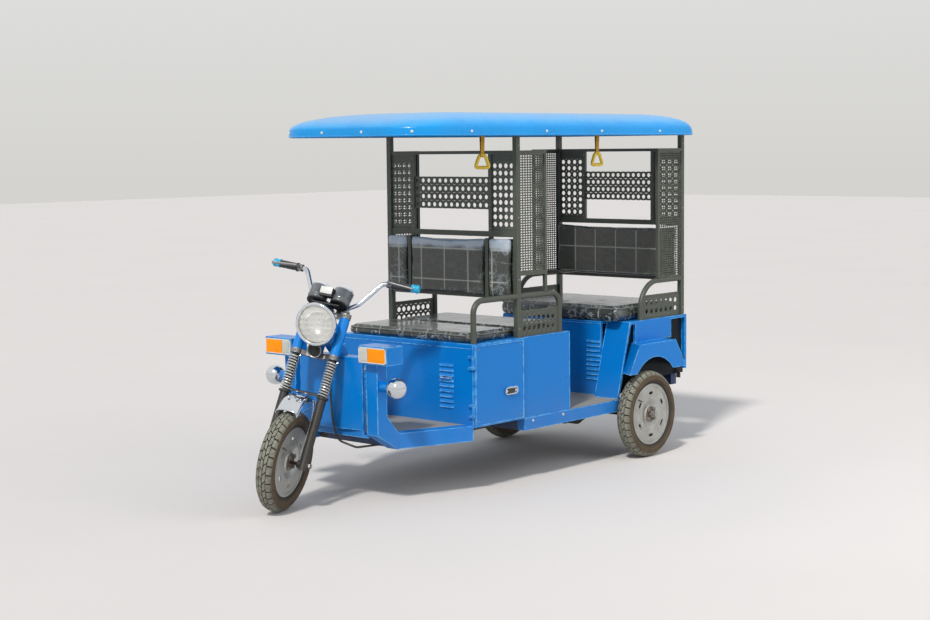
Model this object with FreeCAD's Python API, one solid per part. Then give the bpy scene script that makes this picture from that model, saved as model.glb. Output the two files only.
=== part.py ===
import FreeCAD, Part
import math
import os

# Battery-driven auto rickshaw with open sides, in millimetres.
# The front of the vehicle points to -Y, its left side is +X, and +Z is up.
# The origin is on the ground, in the middle of the vehicle's length and width.
# Places along the length are given from the rear axle, negative towards the front.

# Wheels
REAR_AXLE_Y = 929.0        # from the origin back to the rear axle
REAR_TYRE_R = 228.0
REAR_TYRE_W = 84.0
REAR_TRACK_HALF = 486.0    # from the middle plane to the middle of a rear tyre
FRONT_TYRE_R = 235.0
FRONT_TYRE_W = 80.0
RIM_R = 161.0              # radius over the rim's flanges
RIM_SEAT_R = 150.0
CROWN_R = 52.0             # radius of the tyre's crown, across the tread
HUB_R = 46.0
SLOTS = 6                  # ventilation slots in a wheel disc
SLOT_PITCH_R = 112.0
SLOT_LONG = 34.0
SLOT_WIDE = 15.0
NUTS = 4
NUT_PITCH_R = 34.0

# Steering head: the axis leans back, and the vehicle stands with its wheel turned left
RAKE = 23.5
STEER_AT_REST = 23.5
HEAD_LEAD = 120.0          # steering axis at HEAD_Z, ahead of the nose
HEAD_Z = 600.0
AXLE_LEAD = 22.0           # front axle ahead of the steering axis
LEG_LEAD = 30.0            # fork legs ahead of the steering axis
LEG_HALF = 95.0            # fork legs from the middle plane
STEM_R = 13.0
HEAD_TUBE_R = 22.0
LOWER_YOKE = 98.0          # heights along the steering axis, from HEAD_Z
UPPER_YOKE = 300.0
YOKE_THICK = 22.0
YOKE_EAR_R = 26.0
LEG_R = 15.0
SLIDER_R = 21.0
SLIDER_TOP = -92.0
COVER_R = 24.0
SPRING_R = 27.0
SPRING_TURNS = 13
FRONT_AXLE_R = 8.0

# Handlebar and what it carries
BAR_R = 11.0
BAR_HALF = 362.0
GRIP_R = 16.0
GRIP_LONG = 118.0
LAMP_R = 98.0
LAMP_LEAD = 108.0
LAMP_UP = 224.0
LAMP_EAR_X = 80.0            # inner faces of the headlight's ears
HORN_R = 36.0
HORN_LEAD = 47.0
HORN_UP = 115.0
GAUGE_R = 43.0
GAUGE_HALF = 58.0
MUDGUARD_R = 288.0
MUDGUARD_W = 112.0
MUDGUARD_FROM = 68.0       # angles at the front axle, above straight ahead
MUDGUARD_TO = 119.0

# Body: heights
RAIL_LOW = 257.0
RAIL_TOP = 318.0
FLOOR_THICK = 4.0
KICK_LOW = 330.0          # main rails where they pass over the rear axle
KICK_TOP = 391.0
SEAT_Z = 717.0             # top of the seat boxes
ARM_Z = 932.0
CANOPY_LOW = 1698.0
CANOPY_TOP = 1812.0

# Body: widths
SIDE_X = 434.0             # outer face of the fixed side panels
WALL = 15.0                # folded sheet panel with its edge frame
SHEET = 3.0
CHASSIS_W = 50.0

# Body: places along the length, from the rear axle
BOX_FRONT = -1332.0
BOX_JOINT = -962.0
BOX_REAR = -592.0
POST_FRONT = -984.0
POST_REAR = 415.0
BODY_REAR = 452.0
STEP_FRONT = -956.0
STEP_REAR = -164.0
KNEE_FOOT = -186.0
KNEE_TOP = -75.0
RISER_Y = -132.0
NOSE_Y = -1844.0           # front face of the driver's floor frame
HEAD_Y = NOSE_Y - HEAD_LEAD
NOSE_HALF = 305.0
NOSE_CORNER = NOSE_Y + 150 # where the nose frame meets the chassis
COLUMN_Y = NOSE_CORNER     # front face of the steering column's foot
COLUMN_HALF = 28.0
NOSE_TUBE = 70.0           # width of the nose frame's uprights
CHASSIS_SET = 5.0          # main rails inside the nose frame's inner faces
CHASSIS_OUT = NOSE_HALF - NOSE_TUBE - CHASSIS_SET
CHASSIS_IN = CHASSIS_OUT - CHASSIS_W
SILL_TOP = 330.0

POST = 26.0                # square tube of the posts
THIN = 16.0                # square tube of the secondary posts and rails
PLATE = 3.0                # perforated plates
CABLE_R = 5.0
CABLE_BEND = 60.0
CLEAR = 0.3                # gap between pieces that meet but move apart

# Seat box and its doors
DOOR_FRAME = 30.0
DOOR_THICK = 10.0
DOOR_HINGES = (380.0, 610.0)
HINGE_X = SIDE_X + 7
HINGE_Y = BOX_FRONT - 8
HINGE_R = 6.0
PIN_R = 3.0
LOUVRES = 9
LOUVRE_LOW = 404.0
LOUVRE_PITCH = 25.0
LOUVRE_W = 84.0
LOUVRE_X = 268.0
RISER_LOUVRE_X = 236.0
CUSHION = 45.0
REAR_CUSHION = 80.0
CUSHION_HALF = 402.0
BACK_PAD = 42.0

# Nose
SLIT = 28.0
SHIELD_LOW = 352.0
SHIELD_TOP = 690.0
SHIELD_BULGE = 20.0
INDICATOR_SET = 17.0       # indicators outside the shield's edges
INDICATOR_W = 178.0
INDICATOR_IN = NOSE_HALF - NOSE_TUBE - SLIT + INDICATOR_SET
INDICATOR_OUT = INDICATOR_IN + INDICATOR_W
BALL_Z = 560.0
BALL_R = 48.0

# Rear body
KNEE_IN = 285.0
REAR_LOW = 419.0
SIDE_FROM = -24.0
SIDE_TO = 305.0
FENDER_Z = 604.0
FENDER_FRONT = -97.0
FENDER_FOOT = -188.0
FENDER_REAR = 231.0
FENDER_HEEL = 334.0
FENDER_LIP = 452.0
FENDER_FLARE = 81.0        # how far the guards stand out from the body's side
FENDER_OUT = SIDE_X + FENDER_FLARE
FENDER_IN = SIDE_X - 24
FENDER_SKEW = 66.0         # how far the inner edge's front lies behind the outer edge's
FENDER_WALL = 4.0
FLAP_IN = SIDE_X - 24
FLAP_Y = 390.0
FLAP_LOW = 372.0
ARCH_R = 211.0
ARCH_Y = 44.0
ARCH_Z = 317.0

# Cabin frame
RAIL_1 = 1608.0
RAIL_2 = 1205.0
RAIL_3 = 903.0
RAIL_3_TALL = 20.0
DIVIDER_X = 258.0
DIVIDER_REAR_X = 236.0
DIVIDER_HALF = 10.0
MESH_LOW = 1034.0
THIN_FRONT = -775.0
THIN_REAR = 191.0
CANOPY_HALF = 478.0
ROOF_Z = CANOPY_LOW + 4
ROOF_TALL = 30.0
ROOF_FRONT = -1530.0
ROOF_REAR = 415.0
ROOF_BOWS = (-1522.0, POST_FRONT, -300.0, POST_REAR - 10)
ARM_R = 14.0
ARM_BEND = 62.0
ARM3_BEND = 150.0
ARM_PLATE_TOP = 846.0
DRIVER_ARM = -1310.0
ARM_REAR_END = -658.0
ARM3_FRONT = 36.0
MESH_PITCH = 20.0
MESH_SLOT = 11.0
SHELL = 6.0
GRAB_PLACES = (-1180.0, -277.0)

# Rear axle
AXLE_END = 430.0
SPRING_X = 350.0
SPRING_Z = 258.0
LEAF = 7.0
LEAF_HALVES = (280.0, 220.0, 150.0, 90.0)
LEAF_CURVE = 3000.0

V = FreeCAD.Vector
AXIS_X = V(1, 0, 0)
AXIS_Y = V(0, 1, 0)
AXIS_Z = V(0, 0, 1)
parts = {}


def at(place):
    """Place along the length, from the rear axle, in the part's frame."""
    return REAR_AXLE_Y + place


def block(x0, x1, y0, y1, z0, z1):
    """Box between two corners, with y from the rear axle."""
    return Part.makeBox(x1 - x0, y1 - y0, z1 - z0, V(x0, at(y0), z0))


def prism(points, push):
    """Straight-sided outline pushed into a solid."""
    wire = Part.makePolygon(points + [points[0]])
    return Part.Face(wire).extrude(push)


def side_prism(points, x0, x1):
    """Outline of (y, z) points, y from the rear axle, between two widths."""
    return prism([V(x0, at(y), z) for y, z in points], V(x1 - x0, 0, 0))


def mirrored(shape):
    return shape.mirror(V(0, 0, 0), AXIS_X)


def fused(shapes):
    solid = shapes[0].fuse(shapes[1:]) if len(shapes) > 1 else shapes[0]
    return solid.removeSplitter()


def cylinder(radius, start, end):
    return Part.makeCylinder(radius, (end - start).Length, start, end - start)


def bent_path(points, bend):
    """Wire through the points, each corner rounded to the bend radius."""
    edges = []
    last = points[0]
    for before, corner, after in zip(points, points[1:], points[2:]):
        into = (corner - before).normalize()
        out = (after - corner).normalize()
        turn = into.getAngle(out)
        trim = bend * math.tan(turn / 2)
        start = corner - into * trim
        end = corner + out * trim
        middle = corner + (out - into).normalize() * (bend / math.cos(turn / 2) - bend)
        edges.append(Part.LineSegment(last, start).toShape())
        edges.append(Part.Arc(start, middle, end).toShape())
        last = end
    edges.append(Part.LineSegment(last, points[-1]).toShape())
    return Part.Wire(edges)


def tube(points, bend, radius):
    """Round bar along a path with rounded corners."""
    path = bent_path(points, bend)
    start = Part.Circle(points[0], points[1] - points[0], radius).toShape()
    return path.makePipeShell([Part.Wire(start)], True, False)


def revolved(profile, centre, axis=AXIS_X):
    """Closed outline of (across, radius) points turned about an axle along X."""
    wire = Part.makePolygon([V(across, 0, radius) for across, radius in profile + [profile[0]]])
    solid = Part.Face(wire).revolve(V(0, 0, 0), axis, 360)
    solid.translate(centre)
    return solid


# Steering geometry: the assembly is made straight ahead and then turned with its axis
rake = math.radians(RAKE)
steer = math.radians(STEER_AT_REST)
head_point = V(0, at(HEAD_Y), HEAD_Z)
head_up = V(0, math.sin(rake), math.cos(rake))
head_ahead = V(0, -math.cos(rake), math.sin(rake))


def on_fork(x, ahead, up):
    """Point of the straight steering assembly: across, ahead of and along the steering axis."""
    return head_point + AXIS_X * x + head_ahead * ahead + head_up * up


def steered(shape):
    """The assembly's shape, turned to the left as the vehicle stands."""
    shape.rotate(head_point, head_up, STEER_AT_REST)
    return shape


# The turned wheel leans over, so its axle height is that of a leaning tyre on the ground
lean = math.asin(math.sin(rake) * math.sin(steer))
front_axle_z = (FRONT_TYRE_R - CROWN_R) * math.cos(lean) + CROWN_R
front_axle_up = (front_axle_z - HEAD_Z - math.sin(rake) * math.cos(steer) * AXLE_LEAD) / math.cos(rake)
front_axle = on_fork(0, AXLE_LEAD, front_axle_up)
rear_axle = V(0, at(0), REAR_TYRE_R)


# Wheels

def tyre(radius, width, centre):
    half = width / 2
    shoulder = half - 6
    drop = CROWN_R - math.sqrt(CROWN_R ** 2 - shoulder ** 2)
    edges = []
    crown = [V(-shoulder, 0, radius - drop), V(0, 0, radius), V(shoulder, 0, radius - drop)]
    edges.append(Part.Arc(*crown).toShape())
    right = [V(shoulder, 0, radius - drop), V(half, 0, radius - drop - 30), V(half - 8, 0, RIM_R + 2),
             V(half - 16, 0, RIM_R + 2), V(half - 16, 0, RIM_SEAT_R + CLEAR)]
    left = [V(-point.x, 0, point.z) for point in reversed(right)]
    line = right + left
    for start, end in zip(line, line[1:]):
        edges.append(Part.LineSegment(start, end).toShape())
    solid = Part.Face(Part.Wire(edges)).revolve(V(0, 0, 0), AXIS_X, 360)
    solid.translate(centre)
    return solid


def wheel_disc(width, bore, centre, out):
    """Rim, dished disc with slots, hub and nuts, with its outside towards out."""
    half = width / 2 - 16
    face = out * (half + 4)
    profile = [(-half, RIM_SEAT_R), (half, RIM_SEAT_R), (half, RIM_R), (half + 6, RIM_R),
               (half + 6, RIM_SEAT_R - 4), (12, RIM_SEAT_R - 6), (8, RIM_SEAT_R - 16), (-8, RIM_SEAT_R - 16),
               (-12, RIM_SEAT_R - 6), (-half - 6, RIM_SEAT_R - 4), (-half - 6, RIM_R), (-half, RIM_R)]
    rim = revolved(profile, V(0, 0, 0))
    inner = min(face, face - out * 5)
    outer = max(face, face - out * 5)
    disc = revolved([(inner - out * 14, 50), (outer - out * 14, 50), (outer, 78), (outer, RIM_SEAT_R - 3),
                     (inner, RIM_SEAT_R - 3), (inner, 78)], V(0, 0, 0))
    slots = []
    for n in range(SLOTS):
        slot = block(-60, 60, -SLOT_LONG / 2, SLOT_LONG / 2, -SLOT_WIDE / 2, SLOT_WIDE / 2)
        slot.translate(V(0, -REAR_AXLE_Y, SLOT_PITCH_R))
        slot = slot.makeFillet(SLOT_WIDE / 2 - 0.1, [edge for edge in slot.Edges if abs(edge.tangentAt(0).x) > 0.9])
        slot.rotate(V(0, 0, 0), AXIS_X, 360 * n / SLOTS)
        slots.append(slot)
    disc = disc.cut(Part.makeCompound(slots))
    hub = revolved([(-half + 2, bore), (half + 2, bore), (half + 2, HUB_R - 8), (half - 8, HUB_R), (half - 8, 56),
                    (-half + 8, 56), (-half + 8, HUB_R), (-half + 2, HUB_R - 8)], V(0, 0, 0))
    nuts = []
    for n in range(NUTS):
        turn = 2 * math.pi * (n + 0.5) / NUTS
        start = V(0, NUT_PITCH_R * math.cos(turn), NUT_PITCH_R * math.sin(turn))
        nuts.append(cylinder(8, start, start + AXIS_X * out * (half + 10)))
    solid = fused([rim, disc, hub] + nuts)
    solid.translate(centre)
    return solid


for side, name in ((1, "left"), (-1, "right")):
    centre = V(side * REAR_TRACK_HALF, rear_axle.y, rear_axle.z)
    parts["rear_tyre_" + name] = tyre(REAR_TYRE_R, REAR_TYRE_W, centre)
    parts["rear_rim_" + name] = wheel_disc(REAR_TYRE_W, 14 + CLEAR, centre, side)

parts["front_tyre"] = steered(tyre(FRONT_TYRE_R, FRONT_TYRE_W, front_axle))
parts["front_rim"] = steered(wheel_disc(FRONT_TYRE_W, FRONT_AXLE_R + CLEAR, front_axle, 1))


# Fork, from the yokes down to the axle

def yoke(up, reach):
    """Plate that joins both legs to the stem."""
    half = YOKE_THICK / 2
    arms = []
    for x in (LEG_HALF, -LEG_HALF):
        arms.append(cylinder(reach, on_fork(x, LEG_LEAD, up - half), on_fork(x, LEG_LEAD, up + half)))
    bridge = prism([on_fork(LEG_HALF, LEG_LEAD - 22, up - half), on_fork(LEG_HALF, LEG_LEAD + 18, up - half),
                    on_fork(48, 22, up - half), on_fork(-48, 22, up - half),
                    on_fork(-LEG_HALF, LEG_LEAD + 18, up - half), on_fork(-LEG_HALF, LEG_LEAD - 22, up - half),
                    on_fork(-24, -24, up - half), on_fork(24, -24, up - half)], head_up * YOKE_THICK)
    return arms + [bridge]


stem = cylinder(STEM_R, on_fork(0, 0, LOWER_YOKE), on_fork(0, 0, UPPER_YOKE + 20))
yokes = fused(yoke(LOWER_YOKE, YOKE_EAR_R) + yoke(UPPER_YOKE, YOKE_EAR_R) + [stem])
for x in (LEG_HALF, -LEG_HALF):
    bore = cylinder(LEG_R + CLEAR, on_fork(x, LEG_LEAD, LOWER_YOKE - 40), on_fork(x, LEG_LEAD, UPPER_YOKE + 40))
    yokes = yokes.cut(bore)
parts["fork_yokes"] = steered(yokes)

legs = []
for side in (1, -1):
    x = side * LEG_HALF
    foot = front_axle_up - 24
    legs.append(cylinder(LEG_R, on_fork(x, LEG_LEAD, SLIDER_TOP), on_fork(x, LEG_LEAD, UPPER_YOKE + 18)))
    legs.append(cylinder(SLIDER_R, on_fork(x, LEG_LEAD, foot), on_fork(x, LEG_LEAD, SLIDER_TOP)))
    legs.append(cylinder(SPRING_R + 2, on_fork(x, LEG_LEAD, SLIDER_TOP - 8), on_fork(x, LEG_LEAD, SLIDER_TOP)))
    legs.append(cylinder(18, front_axle + AXIS_X * (x - side * 32), front_axle + AXIS_X * (x + side * 24)))
legs.append(cylinder(FRONT_AXLE_R, front_axle - AXIS_X * (LEG_HALF + 34), front_axle + AXIS_X * (LEG_HALF + 34)))
parts["fork_legs"] = steered(fused(legs))

spring_low = SLIDER_TOP + CLEAR
spring_top = LOWER_YOKE - YOKE_THICK / 2 - CLEAR
spring_pitch = (spring_top - spring_low) / SPRING_TURNS
springs = []
for x in (LEG_HALF, -LEG_HALF):
    profile = [(LEG_R + CLEAR, 0)]
    for n in range(SPRING_TURNS):
        base = n * spring_pitch
        profile.append((SPRING_R - 5, base))
        profile.append((SPRING_R, base + spring_pitch * 0.3))
        profile.append((SPRING_R, base + spring_pitch * 0.6))
        profile.append((SPRING_R - 5, base + spring_pitch * 0.9))
    profile.append((SPRING_R - 5, spring_top - spring_low))
    profile.append((LEG_R + CLEAR, spring_top - spring_low))
    wire = Part.makePolygon([V(radius, 0, up) for radius, up in profile + [profile[0]]])
    coil = Part.Face(wire).revolve(V(0, 0, 0), AXIS_Z, 360)
    coil.rotate(V(0, 0, 0), AXIS_X, -RAKE)
    coil.translate(on_fork(x, LEG_LEAD, spring_low))
    springs.append(steered(coil))
parts["fork_springs"] = Part.makeCompound(springs)

lamp_centre = on_fork(0, LAMP_LEAD, LAMP_UP)
covers = []
for x in (LEG_HALF, -LEG_HALF):
    low = on_fork(x, LEG_LEAD, LOWER_YOKE + YOKE_THICK / 2 + CLEAR)
    top = on_fork(x, LEG_LEAD, UPPER_YOKE - YOKE_THICK / 2 - CLEAR)
    sleeve = cylinder(COVER_R, low, top).cut(cylinder(LEG_R + CLEAR, low, top))
    ear_x = math.copysign(LAMP_EAR_X, x)
    tip = lamp_centre + V(ear_x, 40, 0)
    root = on_fork(ear_x, LEG_LEAD + 12, LAMP_UP - 22)
    ear = prism([root, root + head_up * 44, tip + V(0, -10, 16), tip + V(0, -10, -16)], V(math.copysign(5, x), 0, 0))
    covers.append(steered(fused([sleeve, ear.cut(cylinder(COVER_R - 4, low, top))])))
parts["fork_covers"] = Part.makeCompound(covers)

# Headlight: a bowl behind a rim, carried by two ears from the fork covers


def facing_ahead(profile, centre):
    """Outline of (ahead, radius) points turned about a level line ahead of the fork."""
    wire = Part.makePolygon([V(0, -ahead, radius) for ahead, radius in profile + [profile[0]]])
    solid = Part.Face(wire).revolve(V(0, 0, 0), AXIS_Y, 360)
    solid.translate(centre)
    return solid


bowl = facing_ahead([(-72, 0), (-72, 36), (-40, LAMP_R - 22), (-2, LAMP_R - 10), (0, LAMP_R), (16, LAMP_R),
                     (16, LAMP_R - 9), (4, LAMP_R - 12), (-38, LAMP_R - 27), (-66, 32), (-66, 0)], lamp_centre)
studs = [cylinder(7, lamp_centre + V(x, 40, 0), lamp_centre + V(LAMP_EAR_X * math.copysign(1, x), 40, 0))
         for x in (LAMP_R - 30, 30 - LAMP_R)]
parts["headlight_bowl"] = steered(fused([bowl] + studs))
glass = facing_ahead([(6, 0), (6, LAMP_R - 12.5), (14, LAMP_R - 12.5), (22, LAMP_R - 34), (26, 0)], lamp_centre)
parts["headlight_glass"] = steered(glass)

horn_centre = on_fork(0, HORN_LEAD, HORN_UP)
horn = facing_ahead([(-14, 0), (-14, 12), (-8, 16), (-6, HORN_R - 3), (0, HORN_R), (6, HORN_R), (6, HORN_R - 6),
                     (2, HORN_R - 9), (2, 0)], horn_centre)
foot_line = [(22, -2), (38, -2), (38, 16), (28, 16), (28, 10), (22, 10)]
horn_foot = prism([on_fork(-9, ahead, LOWER_YOKE + up) for ahead, up in foot_line], AXIS_X * 18)
parts["horn"] = steered(fused([horn, horn_foot]))

gauges = []
for x in (GAUGE_HALF, -GAUGE_HALF):
    low = on_fork(x, 62, UPPER_YOKE + 36)
    gauges.append(cylinder(GAUGE_R, low, low + (head_up * 0.94 - head_ahead * 0.34) * 78))
panel = prism([on_fork(32, 60, UPPER_YOKE + 62), on_fork(32, 110, UPPER_YOKE + 62), on_fork(-32, 110, UPPER_YOKE + 62),
               on_fork(-32, 60, UPPER_YOKE + 62)], head_up * 40)
bracket = prism([on_fork(70, 6, UPPER_YOKE + 30), on_fork(70, 84, UPPER_YOKE + 30), on_fork(-70, 84, UPPER_YOKE + 30),
                 on_fork(-70, 6, UPPER_YOKE + 30)], head_up * 6)
post = prism([on_fork(16, 20, UPPER_YOKE + YOKE_THICK / 2), on_fork(16, 40, UPPER_YOKE + YOKE_THICK / 2),
              on_fork(-16, 40, UPPER_YOKE + YOKE_THICK / 2), on_fork(-16, 20, UPPER_YOKE + YOKE_THICK / 2)], head_up * 22)
parts["instruments"] = steered(fused(gauges + [panel, bracket, post]))

# Handlebar: (across, ahead, up) of its corners on the left side
bar_corners = [(70, -22, UPPER_YOKE + 48), (118, -26, UPPER_YOKE + 80), (196, -52, UPPER_YOKE + 206),
               (BAR_HALF, -62, UPPER_YOKE + 212)]
bar_line = [on_fork(-x, ahead, up) for x, ahead, up in reversed(bar_corners)]
bar_line += [on_fork(x, ahead, up) for x, ahead, up in bar_corners]
bar = tube(bar_line, 34, BAR_R)
clamps = []
for x in (40, -40):
    low = on_fork(x - 12, -40, UPPER_YOKE + YOKE_THICK / 2)
    clamps.append(prism([low, low + AXIS_X * 24, low + AXIS_X * 24 + head_ahead * 36, low + head_ahead * 36], head_up * 52))
parts["handlebar"] = steered(fused([bar] + clamps))

grips = []
levers = []
for side in (1, -1):
    start = on_fork(side * (BAR_HALF - GRIP_LONG), -62 + 10 * GRIP_LONG / 166, UPPER_YOKE + 212 - 6 * GRIP_LONG / 166)
    end = on_fork(side * BAR_HALF, -62, UPPER_YOKE + 212)
    along = (end - start).normalize()
    grip = cylinder(GRIP_R, start, end + along * 10).cut(cylinder(BAR_R + CLEAR, start, end + along * CLEAR))
    grips.append(steered(grip))
    perch = cylinder(17, start - along * 26, start - along * (2 * CLEAR))
    perch = perch.cut(cylinder(BAR_R + CLEAR, start - along * 60, start))
    reach = tube([start - along * 13 + head_ahead * 14, start - along * 10 + head_ahead * 44,
                  end + head_ahead * 50 - head_up * 14], 12, 6)
    levers.append(steered(fused([perch, reach])))
parts["grips"] = Part.makeCompound(grips)
parts["levers"] = Part.makeCompound(levers)


def guard_shell(radius, half):
    """Sector of a shallow channel round the front wheel."""
    outline = [(-half, radius - 26), (-half, radius - 8), (-half + 14, radius), (half - 14, radius), (half, radius - 8),
               (half, radius - 26)]
    wire = Part.makePolygon([V(across, 0, up) for across, up in outline + [outline[0]]])
    solid = Part.Face(wire).revolve(V(0, 0, 0), AXIS_X, MUDGUARD_TO - MUDGUARD_FROM)
    solid.rotate(V(0, 0, 0), AXIS_X, 90 - MUDGUARD_TO)
    return solid


shell = guard_shell(MUDGUARD_R, MUDGUARD_W / 2).cut(guard_shell(MUDGUARD_R - 3, MUDGUARD_W / 2 - 3))
shell.translate(front_axle)
stay_half = LEG_HALF - SLIDER_R
stay_up = front_axle_up + MUDGUARD_R - 2
stay = prism([on_fork(-stay_half, LEG_LEAD - 14, stay_up), on_fork(stay_half, LEG_LEAD - 14, stay_up),
              on_fork(stay_half, LEG_LEAD + 14, stay_up), on_fork(-stay_half, LEG_LEAD + 14, stay_up)], head_up * 6)
parts["front_mudguard"] = steered(fused([shell, stay]))

# Head tube and its column down to the floor frame
head_low = LOWER_YOKE + YOKE_THICK / 2 + 1
head_top = UPPER_YOKE - YOKE_THICK / 2 - 1
head_tube = cylinder(HEAD_TUBE_R, on_fork(0, 0, head_low), on_fork(0, 0, head_top))
neck = side_prism([(HEAD_Y + 75, 776), (HEAD_Y + 100, 834), (COLUMN_Y + 50, 560), (COLUMN_Y + 50, RAIL_TOP),
                   (COLUMN_Y, RAIL_TOP), (COLUMN_Y, 540)], -COLUMN_HALF, COLUMN_HALF)
column = head_tube.fuse(neck).cut(cylinder(STEM_R + CLEAR, on_fork(0, 0, 0), on_fork(0, 0, 400)))
parts["steering_column"] = column.removeSplitter()


# Underframe

# side outline of a main rail, kicked up over the rear axle
rail_line = [(NOSE_CORNER, RAIL_LOW), (-104, RAIL_LOW), (-26, KICK_LOW), (BODY_REAR - 20, KICK_LOW),
             (BODY_REAR - 20, KICK_TOP), (-34, KICK_TOP), (-112, RAIL_TOP), (NOSE_CORNER, RAIL_TOP)]
main_rails = []
for x0, x1 in ((CHASSIS_IN, CHASSIS_OUT), (-CHASSIS_OUT, -CHASSIS_IN)):
    main_rails.append(side_prism(rail_line, x0, x1))
parts["chassis_rails"] = Part.makeCompound(main_rails)

# cross members: place along the length, width along it, bottom, top, half reach
cross_members = [(NOSE_CORNER, 50, RAIL_LOW, RAIL_TOP, NOSE_HALF - NOSE_TUBE),
                 (BOX_FRONT, 40, RAIL_LOW, RAIL_TOP, SIDE_X - 40),
                 (BOX_JOINT + 2, 40, RAIL_LOW, RAIL_TOP, SIDE_X - 40),
                 (BOX_REAR - 8, 40, RAIL_LOW, RAIL_TOP, SIDE_X - 40),
                 (-345, 40, RAIL_LOW, RAIL_TOP, SIDE_X - 40),
                 (262, 36, KICK_LOW, KICK_TOP, 380),
                 (BODY_REAR - 70, 50, KICK_LOW, KICK_TOP, 380)]
members = []
for place, deep, low, top, half in cross_members:
    for x0, x1 in ((-half, -CHASSIS_OUT), (-CHASSIS_IN, CHASSIS_IN), (CHASSIS_OUT, half)):
        if x1 - x0 > THIN:
            members.append(block(x0, x1, place, place + deep, low, top))
# hangers of the leaf springs, in pairs beside each eye
for x in (SPRING_X, -SPRING_X):
    for x0 in (x - 28, x + 22):
        members.append(block(x0, x0 + 6, -305, -264, 278, RAIL_TOP))
        members.append(block(x0, x0 + 6, 266, 294, 280, KICK_LOW))
parts["chassis_members"] = Part.makeCompound(members)

steps = []
for x0, x1 in ((SIDE_X - 40, SIDE_X + 6), (-SIDE_X - 6, -SIDE_X + 40)):
    steps.append(block(x0, x1, STEP_FRONT, STEP_REAR, RAIL_LOW, RAIL_TOP))
parts["step_rails"] = Part.makeCompound(steps)

cabin_floor = block(-SIDE_X, SIDE_X, BOX_REAR + 1, RISER_Y, RAIL_TOP, RAIL_TOP + FLOOR_THICK)
floor_half = NOSE_HALF - NOSE_TUBE
driver_floor = prism([V(-floor_half, at(NOSE_Y + 72), RAIL_TOP), V(floor_half, at(NOSE_Y + 72), RAIL_TOP),
                      V(floor_half, at(NOSE_CORNER), RAIL_TOP), V(SIDE_X - 60, at(BOX_FRONT), RAIL_TOP),
                      V(60 - SIDE_X, at(BOX_FRONT), RAIL_TOP), V(-floor_half, at(NOSE_CORNER), RAIL_TOP)],
                     V(0, 0, SILL_TOP - RAIL_TOP))
driver_floor = driver_floor.cut(block(-COLUMN_HALF, COLUMN_HALF, COLUMN_Y, COLUMN_Y + 50, 0, 600))
parts["floor_sheets"] = Part.makeCompound([cabin_floor, driver_floor])


def nose_frame():
    """Upright and sill on one side of the driver's foot space."""
    outline = [(NOSE_Y, 668), (NOSE_Y, 335), (NOSE_Y + 128, RAIL_LOW), (BOX_FRONT, RAIL_LOW), (BOX_FRONT, SILL_TOP),
               (NOSE_Y + 138, SILL_TOP), (NOSE_Y + 62, 418), (NOSE_Y + 62, 668)]
    upright = side_prism(outline, NOSE_HALF - NOSE_TUBE, NOSE_HALF)
    # the sill widens towards the seat box
    upright = upright.common(block(-600, 600, NOSE_Y - 5, NOSE_CORNER, 200, 700))
    sill = prism([V(NOSE_HALF - NOSE_TUBE, at(NOSE_CORNER), RAIL_LOW), V(NOSE_HALF, at(NOSE_CORNER), RAIL_LOW),
                  V(SIDE_X, at(BOX_FRONT), RAIL_LOW), V(SIDE_X - 60, at(BOX_FRONT), RAIL_LOW)], V(0, 0, SILL_TOP - RAIL_LOW))
    return upright, sill


upright, sill = nose_frame()
left_nose = fused([upright, sill])


# Seat box under the driver, with a battery door on each side

def seat_box():
    """Hollow box: front and rear walls, fixed side panels, door frames and a top."""
    low, top = RAIL_TOP, SEAT_Z
    pieces = [block(-SIDE_X, SIDE_X, BOX_FRONT, BOX_FRONT + WALL, low, top),
              block(-SIDE_X, SIDE_X, BOX_REAR - WALL, BOX_REAR, low, top),
              block(-SIDE_X, SIDE_X, BOX_FRONT, BOX_REAR, top - 6, top)]
    for side in (1, -1):
        x0, x1 = sorted((side * (SIDE_X - WALL), side * SIDE_X))
        pieces.append(block(x0, x1, BOX_JOINT, BOX_REAR, low, top))
        pieces.append(block(x0, x1, BOX_FRONT, BOX_JOINT, top - DOOR_FRAME, top))
        pieces.append(block(x0, x1, BOX_FRONT, BOX_JOINT, low, low + DOOR_FRAME))
    for row in range(LOUVRES):
        z = LOUVRE_LOW + row * LOUVRE_PITCH
        for x in (LOUVRE_X, -LOUVRE_X):
            pieces.append(prism([V(x - LOUVRE_W / 2, at(BOX_FRONT), z), V(x - LOUVRE_W / 2, at(BOX_FRONT), z + 12),
                                 V(x - LOUVRE_W / 2, at(BOX_FRONT - 6), z)], V(LOUVRE_W, 0, 0)))
    return fused(pieces)


parts["battery_pack"] = block(-300, 300, BOX_FRONT + 60, BOX_REAR - 90, RAIL_TOP, RAIL_TOP + 230)


def battery_door(side):
    """Proud pan door with a slam latch, hinged at its front edge on two barrels."""
    x0, x1 = SIDE_X + 1, SIDE_X + 1 + DOOR_THICK
    leaf = block(x0, x1, BOX_FRONT + 4, BOX_JOINT - 2, RAIL_TOP + 2, SEAT_Z - 3)
    latch = block(x1, x1 + 6, BOX_JOINT - 122, BOX_JOINT - 60, 452, 488)
    pieces = [leaf, latch]
    for z in DOOR_HINGES:
        centre = V(HINGE_X, at(HINGE_Y), z)
        pieces.append(cylinder(HINGE_R, centre, centre + AXIS_Z * 40))
        pieces.append(block(HINGE_X - 3, x1, HINGE_Y, BOX_FRONT + 5, z, z + 40))
    solid = fused(pieces)
    for z in DOOR_HINGES:
        centre = V(HINGE_X, at(HINGE_Y), z - 30)
        solid = solid.cut(cylinder(PIN_R + CLEAR, centre, centre + AXIS_Z * 100))
    return solid if side > 0 else mirrored(solid)


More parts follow.
